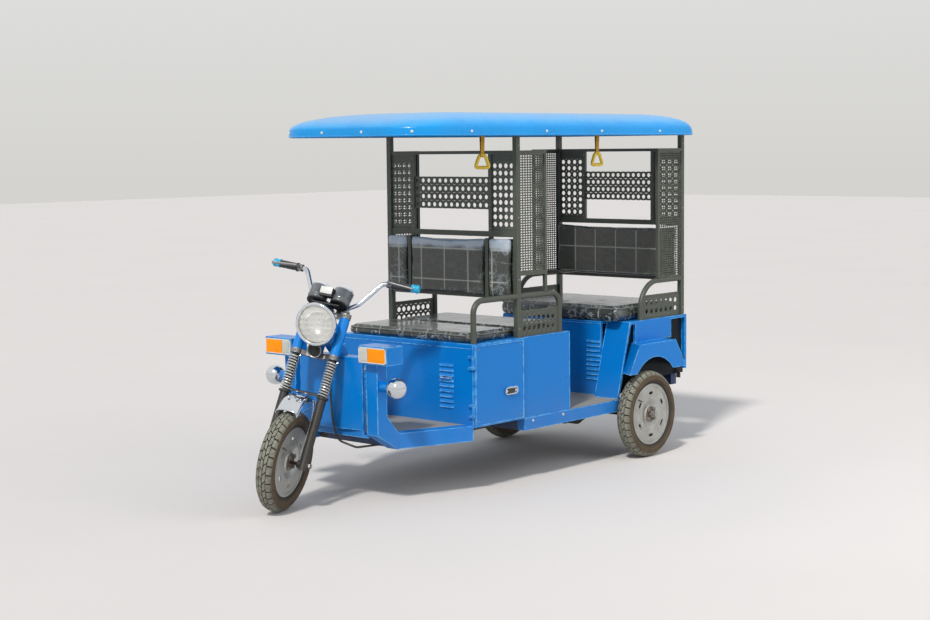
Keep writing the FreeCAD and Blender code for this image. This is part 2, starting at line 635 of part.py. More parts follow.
def hinge_pins():
    """Pins standing in brackets at the front corners of the seat box."""
    pins = []
    for z in DOOR_HINGES:
        foot = V(HINGE_X, at(HINGE_Y), z - 12)
        pin = cylinder(PIN_R, foot, foot + AXIS_Z * 64)
        lug_low = block(SIDE_X - 20, HINGE_X + 5, HINGE_Y - 5, BOX_FRONT, z - 12, z - 1)
        lug_top = block(SIDE_X - 20, HINGE_X + 5, HINGE_Y - 5, BOX_FRONT, z + 41, z + 52)
        pins.append(fused([pin, lug_low, lug_top]))
    return pins + [mirrored(pin) for pin in pins]


parts["battery_door_left"] = battery_door(1)
parts["battery_door_right"] = battery_door(-1)
parts["seat_box"] = fused([seat_box()] + hinge_pins())

# Front shield: a curved sheet between the uprights
shield_half = NOSE_HALF - NOSE_TUBE - SLIT


def shield_face(inset):
    """Plan outline of the shield's front, pushed up."""
    y = NOSE_Y + 4 + inset
    return [V(-shield_half, at(y), 0), V(0, at(y - SHIELD_BULGE), 0), V(shield_half, at(y), 0)]


front = Part.Arc(*[point + V(0, 0, SHIELD_LOW) for point in shield_face(0)]).toShape()
back = Part.Arc(*[point + V(0, 0, SHIELD_LOW) for point in shield_face(SHEET)]).toShape()
sides = [Part.LineSegment(front.Vertexes[n].Point, back.Vertexes[n].Point).toShape() for n in (0, 1)]
outline = Part.Wire([front, sides[1], back, sides[0]])
shield = Part.Face(outline).extrude(V(0, 0, SHIELD_TOP - SHIELD_LOW))
lip = block(-shield_half, shield_half, NOSE_Y + 4, NOSE_Y + 60, SHIELD_TOP - 16, SHIELD_TOP - 1)
lip = lip.cut(block(-COLUMN_HALF - 1, COLUMN_HALF + 1, NOSE_Y + 20, NOSE_Y + 61, 500, 800))
foot = block(-floor_half, floor_half, NOSE_Y + 4, NOSE_Y + 72, RAIL_TOP, SILL_TOP)
skirt = block(-shield_half, shield_half, NOSE_Y + 4, NOSE_Y + 14, RAIL_TOP, SHIELD_TOP - 16)
parts["front_shield"] = fused([shield, lip, skirt, foot])

parts["nose_frames"] = Part.makeCompound([left_nose, mirrored(left_nose)])

# Indicators on the uprights and ball lamps beside them
housing = block(INDICATOR_IN, INDICATOR_OUT, NOSE_Y - 36, NOSE_Y + 66, 668, 752)
housing = housing.cut(block(INDICATOR_IN + 6, INDICATOR_OUT - 6, NOSE_Y - 37, NOSE_Y - 24, 676, 744))
parts["indicator_housings"] = Part.makeCompound([housing, mirrored(housing)])
split = INDICATOR_IN + (INDICATOR_OUT - INDICATOR_IN) * 0.34
clear_lens = block(INDICATOR_IN + 6 + CLEAR, split - CLEAR, NOSE_Y - 40, NOSE_Y - 24 - CLEAR, 676 + CLEAR, 744 - CLEAR)
amber_lens = block(split, INDICATOR_OUT - 6 - CLEAR, NOSE_Y - 40, NOSE_Y - 24 - CLEAR, 676 + CLEAR, 744 - CLEAR)
lenses = [clear_lens, amber_lens]
parts["indicator_lenses"] = Part.makeCompound(lenses + [mirrored(lens) for lens in lenses])
stub_end = V(NOSE_HALF + 62, at(NOSE_Y + 30), BALL_Z)
stub = cylinder(24, V(NOSE_HALF, at(NOSE_Y + 30), BALL_Z), stub_end)
ball = Part.makeSphere(BALL_R, stub_end + V(BALL_R - 12, -6, 0))
lamp = fused([stub, ball])
parts["ball_lamps"] = Part.makeCompound([lamp, mirrored(lamp)])

# Rear seat box with the sloping knee panels and the wheel houses
rear_pieces = [block(-KNEE_IN, KNEE_IN, RISER_Y, RISER_Y + WALL, RAIL_TOP + FLOOR_THICK, SEAT_Z),
               block(-SIDE_X, SIDE_X, KNEE_TOP, BODY_REAR, SEAT_Z - WALL, SEAT_Z),
               block(-KNEE_IN, KNEE_IN, RISER_Y, KNEE_TOP, SEAT_Z - WALL, SEAT_Z),
               block(-SIDE_X, SIDE_X, BODY_REAR - WALL, BODY_REAR, REAR_LOW, SEAT_Z)]
for side in (1, -1):
    x0, x1 = sorted((side * KNEE_IN, side * SIDE_X))
    knee = [(KNEE_FOOT, RAIL_TOP + FLOOR_THICK), (KNEE_FOOT + WALL, RAIL_TOP + FLOOR_THICK), (KNEE_TOP + WALL, SEAT_Z),
            (KNEE_TOP, SEAT_Z)]
    rear_pieces.append(side_prism(knee, x0, x1))
    x0, x1 = sorted((side * KNEE_IN, side * (KNEE_IN + WALL)))
    cheek = [(KNEE_FOOT, RAIL_TOP + FLOOR_THICK), (RISER_Y + WALL, RAIL_TOP + FLOOR_THICK), (RISER_Y + WALL, SEAT_Z),
             (KNEE_TOP, SEAT_Z)]
    rear_pieces.append(side_prism(cheek, x0, x1))
    x0, x1 = sorted((side * (SIDE_X - WALL), side * SIDE_X))
    panel = block(x0, x1, SIDE_FROM, SIDE_TO, FENDER_Z, SEAT_Z)
    rear_pieces.append(panel)
    x0, x1 = sorted((side * (SIDE_X - 36), side * (SIDE_X - 24)))
    rear_pieces.append(side_prism([(KNEE_FOOT + WALL, RAIL_TOP + FLOOR_THICK + 6), (60, 395), (BODY_REAR, 395),
                                   (BODY_REAR, SEAT_Z), (KNEE_TOP + WALL, SEAT_Z)], x0, x1))
for row in range(LOUVRES):
    z = LOUVRE_LOW + row * LOUVRE_PITCH
    for x in (RISER_LOUVRE_X, -RISER_LOUVRE_X):
        rear_pieces.append(prism([V(x - LOUVRE_W / 2, at(RISER_Y), z), V(x - LOUVRE_W / 2, at(RISER_Y), z + 12),
                                  V(x - LOUVRE_W / 2, at(RISER_Y - 6), z)], V(LOUVRE_W, 0, 0)))
parts["rear_body"] = fused(rear_pieces)


def fender_solid(wall):
    """Flared block over a rear wheel, smaller all round by the wall."""
    wires = []
    for x, lead in ((FENDER_IN, FENDER_SKEW), (FENDER_OUT - wall, 0)):
        outline = [(FENDER_FOOT + lead + wall, FENDER_LIP - wall), (FENDER_FRONT + lead + wall, FENDER_Z - wall),
                   (FENDER_REAR - wall, FENDER_Z - wall), (FENDER_HEEL - wall, FENDER_LIP - wall)]
        points = [V(x, at(y), z) for y, z in outline]
        wires.append(Part.makePolygon(points + [points[0]]))
    return Part.makeLoft(wires, True, True)


def fender():
    """Flared guard over a rear wheel, open below its arch."""
    arch = cylinder(ARCH_R, V(FENDER_IN - 1, at(ARCH_Y), ARCH_Z), V(FENDER_OUT + 10, at(ARCH_Y), ARCH_Z))
    return fender_solid(0).cut(fender_solid(FENDER_WALL)).cut(arch).cut(parts["rear_body"])


guard = fender()
parts["rear_fenders"] = Part.makeCompound([guard, mirrored(guard)])
tail = block(SIDE_X - 96, SIDE_X - 6, BODY_REAR, BODY_REAR + 34, 470, 540)
tail = tail.makeFillet(10, [edge for edge in tail.Edges if edge.CenterOfMass.y > at(BODY_REAR + 30)])
parts["tail_lamps"] = Part.makeCompound([tail, mirrored(tail)])
flap = block(FLAP_IN, SIDE_X, FLAP_Y, FLAP_Y + 5, FLAP_LOW, FENDER_LIP + 60)
flap_bar = block(FLAP_IN, SIDE_X, FLAP_Y + 5, BODY_REAR - WALL, FENDER_LIP + 30, FENDER_LIP + 40)
flap = fused([flap, flap_bar])
parts["mud_flaps"] = Part.makeCompound([flap, mirrored(flap)])

# Cabin frame of square tube: posts, rails across and along, and the bars between the rails
inner_half = SIDE_X - POST
posts = []
for place in (POST_FRONT, POST_REAR):
    for x0 in (inner_half, -SIDE_X):
        posts.append(block(x0, x0 + POST, place - POST / 2, place + POST / 2, SEAT_Z, ROOF_Z))
parts["cabin_posts"] = Part.makeCompound(posts)

rails = []
bars = []
# partition: place along the length, places of its dividers across, lowest rail with dividers
for place, divider, divider_low in ((POST_FRONT, DIVIDER_X, RAIL_3 + RAIL_3_TALL), (POST_REAR, DIVIDER_REAR_X, RAIL_2 + POST)):
    y0, y1 = place - THIN / 2, place + THIN / 2
    for z, tall in ((RAIL_1, THIN), (RAIL_2, POST), (RAIL_3, RAIL_3_TALL)):
        rails.append(block(-inner_half, inner_half, y0, y1, z, z + tall))
    for x in (divider, -divider):
        bars.append(block(x - DIVIDER_HALF, x + DIVIDER_HALF, y0, y1, RAIL_2 + POST, RAIL_1))
        if divider_low < RAIL_2:
            bars.append(block(x - DIVIDER_HALF, x + DIVIDER_HALF, y0, y1, divider_low, RAIL_2))
# thin posts beside the main posts, with the rails that close the mesh panels above and below
for x0 in (SIDE_X - THIN, -SIDE_X):
    for place, y0, y1, foot in ((THIN_FRONT, POST_FRONT + POST / 2, THIN_FRONT - THIN / 2, MESH_LOW),
                                (THIN_REAR, THIN_REAR + THIN / 2, POST_REAR - POST / 2, None)):
        bars.append(block(x0, x0 + THIN, place - THIN / 2, place + THIN / 2, ARM_Z, RAIL_1 + THIN))
        rails.append(block(x0, x0 + THIN, y0, y1, RAIL_1, RAIL_1 + THIN))
        if foot:
            rails.append(block(x0, x0 + THIN, y0, y1, foot - THIN, foot))
parts["cabin_rails"] = Part.makeCompound(rails)
parts["cabin_bars"] = Part.makeCompound(bars)

# Roof frame inside the canopy's skirt: side rails, grab rails and the bows across
tube_out = CANOPY_HALF - SHELL
rail_x = SIDE_X - 60
roof_rails = []
for x0 in (tube_out - THIN, -tube_out):
    roof_rails.append(block(x0, x0 + THIN, ROOF_FRONT, ROOF_REAR, ROOF_Z, ROOF_Z + ROOF_TALL))
for before, after in zip(ROOF_BOWS, ROOF_BOWS[1:]):
    for x0 in (rail_x - THIN / 2, -rail_x - THIN / 2):
        roof_rails.append(block(x0, x0 + THIN, before + THIN / 2, after - THIN / 2, ROOF_Z, ROOF_Z + THIN))
parts["roof_rails"] = Part.makeCompound(roof_rails)
bows = [block(THIN - tube_out, tube_out - THIN, place - THIN / 2, place + THIN / 2, ROOF_Z, ROOF_Z + ROOF_TALL)
        for place in ROOF_BOWS]
parts["roof_bows"] = Part.makeCompound(bows)


def perforated(x0, x1, z0, z1, cols, rows, hole, y):
    """Sheet across the vehicle with a grid of round holes."""
    outer = Part.makePolygon([V(x0, at(y), z0), V(x1, at(y), z0), V(x1, at(y), z1), V(x0, at(y), z1), V(x0, at(y), z0)])
    wires = [outer]
    for col in range(cols):
        for row in range(rows):
            centre = V(x0 + (x1 - x0) * (col + 0.5) / cols, at(y), z0 + (z1 - z0) * (row + 0.5) / rows)
            wires.append(hexagon(centre, hole, AXIS_X))
    return Part.Face(wires, "Part::FaceMakerBullseye").extrude(V(0, PLATE, 0))


def hexagon(centre, radius, across):
    """Six-sided hole outline standing in the plane of across and up."""
    corners = []
    for n in range(6):
        turn = math.pi * n / 3 + math.pi / 6
        corners.append(centre + across * (radius * math.cos(turn)) + AXIS_Z * (radius * math.sin(turn)))
    return Part.makePolygon(corners + [corners[0]])


def side_plate(side, y0, y1, z0, z1, cols, rows, hole):
    """Sheet along the side with a grid of holes."""
    x = side * (SIDE_X - POST / 2)
    outer = Part.makePolygon([V(x, at(y0), z0), V(x, at(y1), z0), V(x, at(y1), z1), V(x, at(y0), z1), V(x, at(y0), z0)])
    wires = [outer]
    for col in range(cols):
        for row in range(rows):
            centre = V(x, at(y0 + (y1 - y0) * (col + 0.5) / cols), z0 + (z1 - z0) * (row + 0.5) / rows)
            wires.append(hexagon(centre, hole, AXIS_Y))
    return Part.Face(wires, "Part::FaceMakerBullseye").extrude(V(side * PLATE, 0, 0))


plates = []
for place, divider in ((POST_FRONT, DIVIDER_X), (POST_REAR, DIVIDER_REAR_X)):
    y = place - PLATE / 2
    inside = divider - DIVIDER_HALF
    outside = divider + DIVIDER_HALF
    plates.append(perforated(-inside, inside, 1338, 1497, 13, 4, 11, y))
    for x0, x1 in ((outside, inner_half), (-inner_half, -outside)):
        plates.append(perforated(x0, x1, RAIL_2 + POST, RAIL_1, 4, 9, 12, y))


def mesh_panel(side, y0, y1, z0, z1):
    """Sheet with rows of narrow slots, between a post and a thin post."""
    x = side * (SIDE_X - THIN / 2)
    wires = [Part.makePolygon([V(x, at(y0), z0), V(x, at(y1), z0), V(x, at(y1), z1), V(x, at(y0), z1), V(x, at(y0), z0)])]
    rows = int((z1 - z0 - 20) / MESH_PITCH)
    for row in range(rows):
        z = z0 + 10 + row * MESH_PITCH
        a, b = y0 + 8, y1 - 8
        wires.append(Part.makePolygon([V(x, at(a), z), V(x, at(b), z), V(x, at(b), z + MESH_SLOT),
                                       V(x, at(a), z + MESH_SLOT), V(x, at(a), z)]))
    return Part.Face(wires, "Part::FaceMakerBullseye").extrude(V(side * PLATE, 0, 0))


for side in (1, -1):
    plates.append(mesh_panel(side, POST_FRONT + POST / 2, THIN_FRONT - THIN / 2, MESH_LOW, RAIL_1))
    plates.append(mesh_panel(side, THIN_REAR + THIN / 2, POST_REAR - POST / 2, ARM_Z, RAIL_1))

# Armrest tubes: a leg up from the seat box, a bend and a run to the post
arm_x = SIDE_X - POST / 2
arm_run = ARM_Z - ARM_R
front_face = POST_FRONT - POST / 2
rear_face = POST_FRONT + POST / 2
last_face = POST_REAR - POST / 2


def arm_tube(x, leg, post, bend, radius):
    """Tube from the seat box up and over to a post."""
    return tube([V(x, at(leg), SEAT_Z), V(x, at(leg), arm_run), V(x, at(post), arm_run)], bend, radius)


arms = [arm_tube(arm_x, DRIVER_ARM, front_face, ARM_BEND, ARM_R)]
for side in (1, -1):
    x = side * arm_x
    arms.append(arm_tube(x, ARM_REAR_END, rear_face, ARM_BEND, ARM_R))
    arms.append(arm_tube(x, ARM3_FRONT, last_face, ARM3_BEND, ARM_R))
    plates.append(side_plate(side, rear_face, ARM_REAR_END - ARM_R - CLEAR, SEAT_Z, ARM_PLATE_TOP, 7, 2, 17))
    plate = side_plate(side, ARM3_FRONT + ARM_R + CLEAR, last_face, SEAT_Z, ARM_PLATE_TOP, 7, 2, 17)
    plates.append(plate.cut(arm_tube(x, ARM3_FRONT, last_face, ARM3_BEND, ARM_R + CLEAR)))
parts["armrests"] = Part.makeCompound(arms)
parts["perforated_plates"] = Part.makeCompound(plates)

# Seats
parts["driver_cushion"] = block(-CUSHION_HALF, CUSHION_HALF, BOX_FRONT + 2, POST_FRONT - 16, SEAT_Z + CLEAR, SEAT_Z + CUSHION)
parts["passenger_cushion"] = block(-CUSHION_HALF, CUSHION_HALF, POST_FRONT + 16, BOX_REAR + 6, SEAT_Z + CLEAR, SEAT_Z + CUSHION)
parts["rear_cushion"] = block(-CUSHION_HALF, CUSHION_HALF, RISER_Y - 20, POST_REAR - 16, SEAT_Z + CLEAR, SEAT_Z + REAR_CUSHION)
pads = []
for x0, x1 in ((-DIVIDER_X + 11, DIVIDER_X - 11), (DIVIDER_X + 12, inner_half - 2), (2 - inner_half, -DIVIDER_X - 12)):
    pads.append(block(x0, x1, POST_FRONT - THIN / 2 - BACK_PAD, POST_FRONT - THIN / 2 - CLEAR, RAIL_3 + 6, RAIL_2 - 4))
parts["driver_backrest"] = Part.makeCompound(pads)
parts["passenger_backrest"] = block(2 - inner_half, inner_half - 2, POST_FRONT + THIN / 2 + CLEAR,
                                    POST_FRONT + THIN / 2 + BACK_PAD, RAIL_3 + 6, RAIL_2 - 4)
parts["rear_backrest"] = block(2 - inner_half, inner_half - 2, POST_REAR - THIN / 2 - BACK_PAD,
                               POST_REAR - THIN / 2 - CLEAR, RAIL_3 + 6, RAIL_2 - 4)


def plan_wire(half, front, rear, front_r, rear_r, z):
    """Level outline with round corners."""
    edges = []
    corners = [(half, rear, rear_r, 0), (-half, rear, rear_r, 90), (-half, front, front_r, 180), (half, front, front_r, 270)]
    points = []
    for x, y, r, turn in corners:
        cx = x - math.copysign(r, x)
        cy = at(y) + (r if y == front else -r)
        arc = []
        for step in (0, 45, 90):
            a = math.radians(turn + step)
            arc.append(V(cx + r * math.cos(a), cy + r * math.sin(a), z))
        points.append(arc)
    for n, arc in enumerate(points):
        edges.append(Part.Arc(*arc).toShape())
        edges.append(Part.LineSegment(arc[2], points[(n + 1) % 4][0]).toShape())
    return Part.Wire(edges)


# Canopy sections: half width, front, rear, front corner, rear corner, height
canopy_sections = [(CANOPY_HALF, -1745, 505, 200, 90, CANOPY_LOW), (CANOPY_HALF, -1745, 505, 200, 90, CANOPY_LOW + 42),
                   (440, -1660, 468, 190, 90, CANOPY_LOW + 76), (340, -1460, 380, 160, 80, CANOPY_LOW + 104),
                   (160, -1180, 200, 100, 60, CANOPY_TOP)]


def canopy_solid(inset, drop):
    wires = []
    for half, front_y, rear_y, front_r, rear_r, z in canopy_sections:
        wires.append(plan_wire(half - inset, front_y + inset, rear_y - inset, front_r - inset, rear_r - inset, z - drop))
    return Part.makeLoft(wires, True, True)


parts["canopy"] = canopy_solid(0, 0).cut(canopy_solid(SHELL, SHELL))

# Grab straps with their rings, on the grab rails
handles = []
for place in GRAB_PLACES:
    strap = block(rail_x - 2, rail_x + 2, place - 12, place + 12, 1604, ROOF_Z)
    ring = side_prism([(place - 34, 1536), (place + 34, 1536), (place + 12, 1612), (place - 12, 1612)], rail_x - 7, rail_x + 7)
    hole = side_prism([(place - 18, 1550), (place + 18, 1550), (place + 4, 1596), (place - 4, 1596)], rail_x - 8, rail_x + 8)
    handles.append(fused([strap, ring.cut(hole)]))
parts["grab_handles"] = Part.makeCompound(handles)

# Rear axle, motor and springs
axle = [cylinder(26, V(-AXLE_END, at(0), REAR_TYRE_R), V(AXLE_END, at(0), REAR_TYRE_R)),
        cylinder(84, V(-52, at(0), REAR_TYRE_R), V(52, at(0), REAR_TYRE_R)),
        cylinder(14, V(-REAR_TRACK_HALF - 30, at(0), REAR_TYRE_R), V(REAR_TRACK_HALF + 30, at(0), REAR_TYRE_R))]
for side in (1, -1):
    x0 = side * (AXLE_END - 16)
    axle.append(cylinder(88, V(x0, at(0), REAR_TYRE_R), V(side * AXLE_END, at(0), REAR_TYRE_R)))
    axle.append(block(side * SPRING_X - 30, side * SPRING_X + 30, -40, 40, REAR_TYRE_R, SPRING_Z))
parts["rear_axle"] = fused(axle)
motor = [cylinder(68, V(-40, at(-158), 226), V(150, at(-158), 226)), cylinder(74, V(40, at(-158), 226), V(70, at(-158), 226)),
         block(-40, 52, -158, -70, 190, 262)]
motor_solid = fused(motor).cut(cylinder(84 + CLEAR, V(-60, at(0), REAR_TYRE_R), V(60, at(0), REAR_TYRE_R)))
parts["drive_motor"] = motor_solid


def leaf_spring(x):
    """Stack of curved leaves with rolled eyes, from the front hanger to the rear shackle."""
    leaves = []
    for n, half in enumerate(LEAF_HALVES):
        top = SPRING_Z + LEAF * (len(LEAF_HALVES) - n)
        rise = half ** 2 / (2 * LEAF_CURVE)
        points = [V(x - 22, at(-half), top + rise), V(x - 22, at(0), top), V(x - 22, at(half), top + rise)]
        under = [point - V(0, 0, LEAF) for point in points]
        edges = [Part.Arc(*points).toShape(), Part.LineSegment(points[2], under[2]).toShape(),
                 Part.Arc(*reversed(under)).toShape(), Part.LineSegment(under[0], points[0]).toShape()]
        leaves.append(Part.Face(Part.Wire(edges)).extrude(V(44, 0, 0)))
    eye_z = SPRING_Z + LEAF * len(LEAF_HALVES) + LEAF_HALVES[0] ** 2 / (2 * LEAF_CURVE) - LEAF / 2
    for y in (-LEAF_HALVES[0], LEAF_HALVES[0]):
        leaves.append(cylinder(13, V(x - 22, at(y), eye_z), V(x + 22, at(y), eye_z)))
    return fused(leaves)


springs = [leaf_spring(SPRING_X), leaf_spring(-SPRING_X)]
parts["leaf_springs"] = Part.makeCompound(springs)

# Cable along the steering column's left side, down in front of the shield and under the floor
cable_x = COLUMN_HALF + CABLE_R + CLEAR
cable_z = RAIL_LOW - CABLE_R - CLEAR
cable_y = at(NOSE_Y - 25)
cable_route = [V(cable_x, at(NOSE_Y + 30), 766), V(cable_x, cable_y, 724), V(cable_x - 10, cable_y, 520),
               V(cable_x, cable_y, 400), V(cable_x + 24, at(NOSE_Y - 18), 296),
               V(cable_x + 60, at(NOSE_Y + 70), cable_z), V(cable_x + 90, at(NOSE_CORNER + 40), cable_z)]
parts["control_cable"] = tube(cable_route, CABLE_BEND, CABLE_R)

os.makedirs("parts", exist_ok=True)
for name, shape in parts.items():
    shape.exportStep(os.path.join("parts", name + ".step"))
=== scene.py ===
"""Looks of an open-sided, battery-driven auto rickshaw, dressed round its packed frame.

Places are in metres in the frame of the packed model: the front points to -Y, the vehicle's left is +X, +Z is up.
Sections, radii and thicknesses are in millimetres.
"""

import logging
import math
from dataclasses import dataclass, field, replace
from enum import Enum
from typing import Callable, Iterable, Mapping, Sequence

import bmesh
import bpy
from mathutils import Matrix, Vector, noise


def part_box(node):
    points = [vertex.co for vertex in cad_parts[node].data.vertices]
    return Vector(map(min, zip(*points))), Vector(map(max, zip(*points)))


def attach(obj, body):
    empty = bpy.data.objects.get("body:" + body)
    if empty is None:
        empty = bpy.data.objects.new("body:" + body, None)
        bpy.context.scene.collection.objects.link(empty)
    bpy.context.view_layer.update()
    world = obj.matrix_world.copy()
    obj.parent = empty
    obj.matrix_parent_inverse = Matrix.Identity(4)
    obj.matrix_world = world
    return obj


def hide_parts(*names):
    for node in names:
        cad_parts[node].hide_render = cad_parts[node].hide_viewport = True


LOG = logging.getLogger("auto_rickshaw")
MM = 0.001
UP = Vector((0, 0, 1))
DUSTY_ROUGH = 0.88
BOX_FACES = ((0, 2, 3, 1), (4, 5, 7, 6), (0, 1, 5, 4), (2, 6, 7, 3), (0, 4, 6, 2), (1, 3, 7, 5))

Colour = tuple[float, float, float]
Pair = tuple[float, float]
Tree = bpy.types.NodeTree
Node = bpy.types.Node
Socket = bpy.types.NodeSocket

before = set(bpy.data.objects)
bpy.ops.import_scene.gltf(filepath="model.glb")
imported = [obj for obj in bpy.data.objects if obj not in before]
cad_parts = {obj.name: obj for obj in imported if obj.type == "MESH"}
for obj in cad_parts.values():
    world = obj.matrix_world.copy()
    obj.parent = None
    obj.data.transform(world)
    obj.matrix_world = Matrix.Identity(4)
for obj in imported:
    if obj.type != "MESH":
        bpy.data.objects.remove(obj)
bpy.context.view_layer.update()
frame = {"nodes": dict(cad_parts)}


def srgb(red: int, green: int, blue: int) -> Colour:
    """Turn a colour as it is seen on a screen into the linear values that shaders take.

    Args:
        red: Red from 0 to 255.
        green: Green from 0 to 255.
        blue: Blue from 0 to 255.

    Returns:
        The three linear values.
    """
    values = []
    for part in (red, green, blue):
        share = part / 255
        values.append(share / 12.92 if share <= 0.04045 else ((share + 0.055) / 1.055) ** 2.4)
    return values[0], values[1], values[2]


def feed(tree: Tree, socket: Socket, value: object) -> None:
    """Link a socket into an input, or set its plain value.

    Args:
        tree: Tree that holds both.
        socket: The input.
        value: Socket, number or colour. A colour of three values gets an alpha of 1.
    """
    if isinstance(value, Socket):
        tree.links.new(value, socket)
    elif isinstance(value, tuple) and socket.type == "RGBA" and len(value) == 3:
        socket.default_value = (*value, 1.0)
    else:
        socket.default_value = value


def add_node(tree: Tree, kind: str, inputs: Mapping[int | str, object] | None = None, **settings: object) -> Node:
    """Add a shader node.

    Args:
        tree: Tree that gets it.
        kind: Blender's name of its kind, without ShaderNode.
        inputs: Socket or plain value of each input, by name or number.
        settings: Values of its properties.

    Returns:
        The node.
    """
    node = tree.nodes.new("ShaderNode" + kind)
    for name, setting in settings.items():
        setattr(node, name, setting)
    for key, value in (inputs or {}).items():
        feed(tree, node.inputs[key], value)
    return node


def calc(tree: Tree, operation: str, *values: object, clamp: bool = False) -> Socket:
    """Add a Math node.

    Args:
        tree: Tree that gets it.
        operation: Blender's name of the operation.
        values: Sockets or numbers.
        clamp: Whether the result stays between 0 and 1.

    Returns:
        The result's socket.
    """
    return add_node(tree, "Math", dict(enumerate(values)), operation=operation, use_clamp=clamp).outputs[0]


def noise_at(tree: Tree, where: Socket, scale: object, detail: float = 4.0, rough: float = 0.55) -> Socket:
    """Add a Noise texture.

    Args:
        tree: Tree that gets it.
        where: Coordinates.
        scale: Socket or number.
        detail: Layers of detail.
        rough: Weight of the finer layers.

    Returns:
        The factor's socket.
    """
    inputs = {"Vector": where, "Scale": scale, "Detail": detail, "Roughness": rough}
    return add_node(tree, "TexNoise", inputs).outputs["Fac"]


def ramp(tree: Tree, value: Socket, low: object, high: object) -> Socket:
    """Map a value from low..high to 0..1 with soft ends.

    Args:
        tree: Tree that gets the node.
        value: Socket to map.
        low: Socket or number that becomes 0.
        high: Socket or number that becomes 1.

    Returns:
        The mapped socket.
    """
    inputs = {"Value": value, "From Min": low, "From Max": high}
    return add_node(tree, "MapRange", inputs, interpolation_type="SMOOTHSTEP").outputs["Result"]


def own_place(tree: Tree) -> Socket:
    """Give the coordinates that stay with the piece when it moves."""
    return add_node(tree, "TexCoord").outputs["Object"]


def part_of(tree: Tree, vector: Socket, axis: str) -> Socket:
    """Give the X, Y or Z of a vector."""
    return add_node(tree, "SeparateXYZ", {0: vector}).outputs[axis]


class Effect(Enum):
    """The surface effects that several finishes share."""

    # road dust, which on the canopy's upward faces is a painted sheen
    DUST_AND_SHEEN = "Dusting and painted sheen"
    # edge colour: rubbed edges on some finishes, a painted highlight on others
    WEAR_AND_HIGHLIGHT = "Rubbed edges and painted highlight"
    MOTTLE = "Tone variation"
    GRAIN = "Vinyl grain"
    WRINKLE = "Film wrinkles"
    PEEL = "Paint skin"


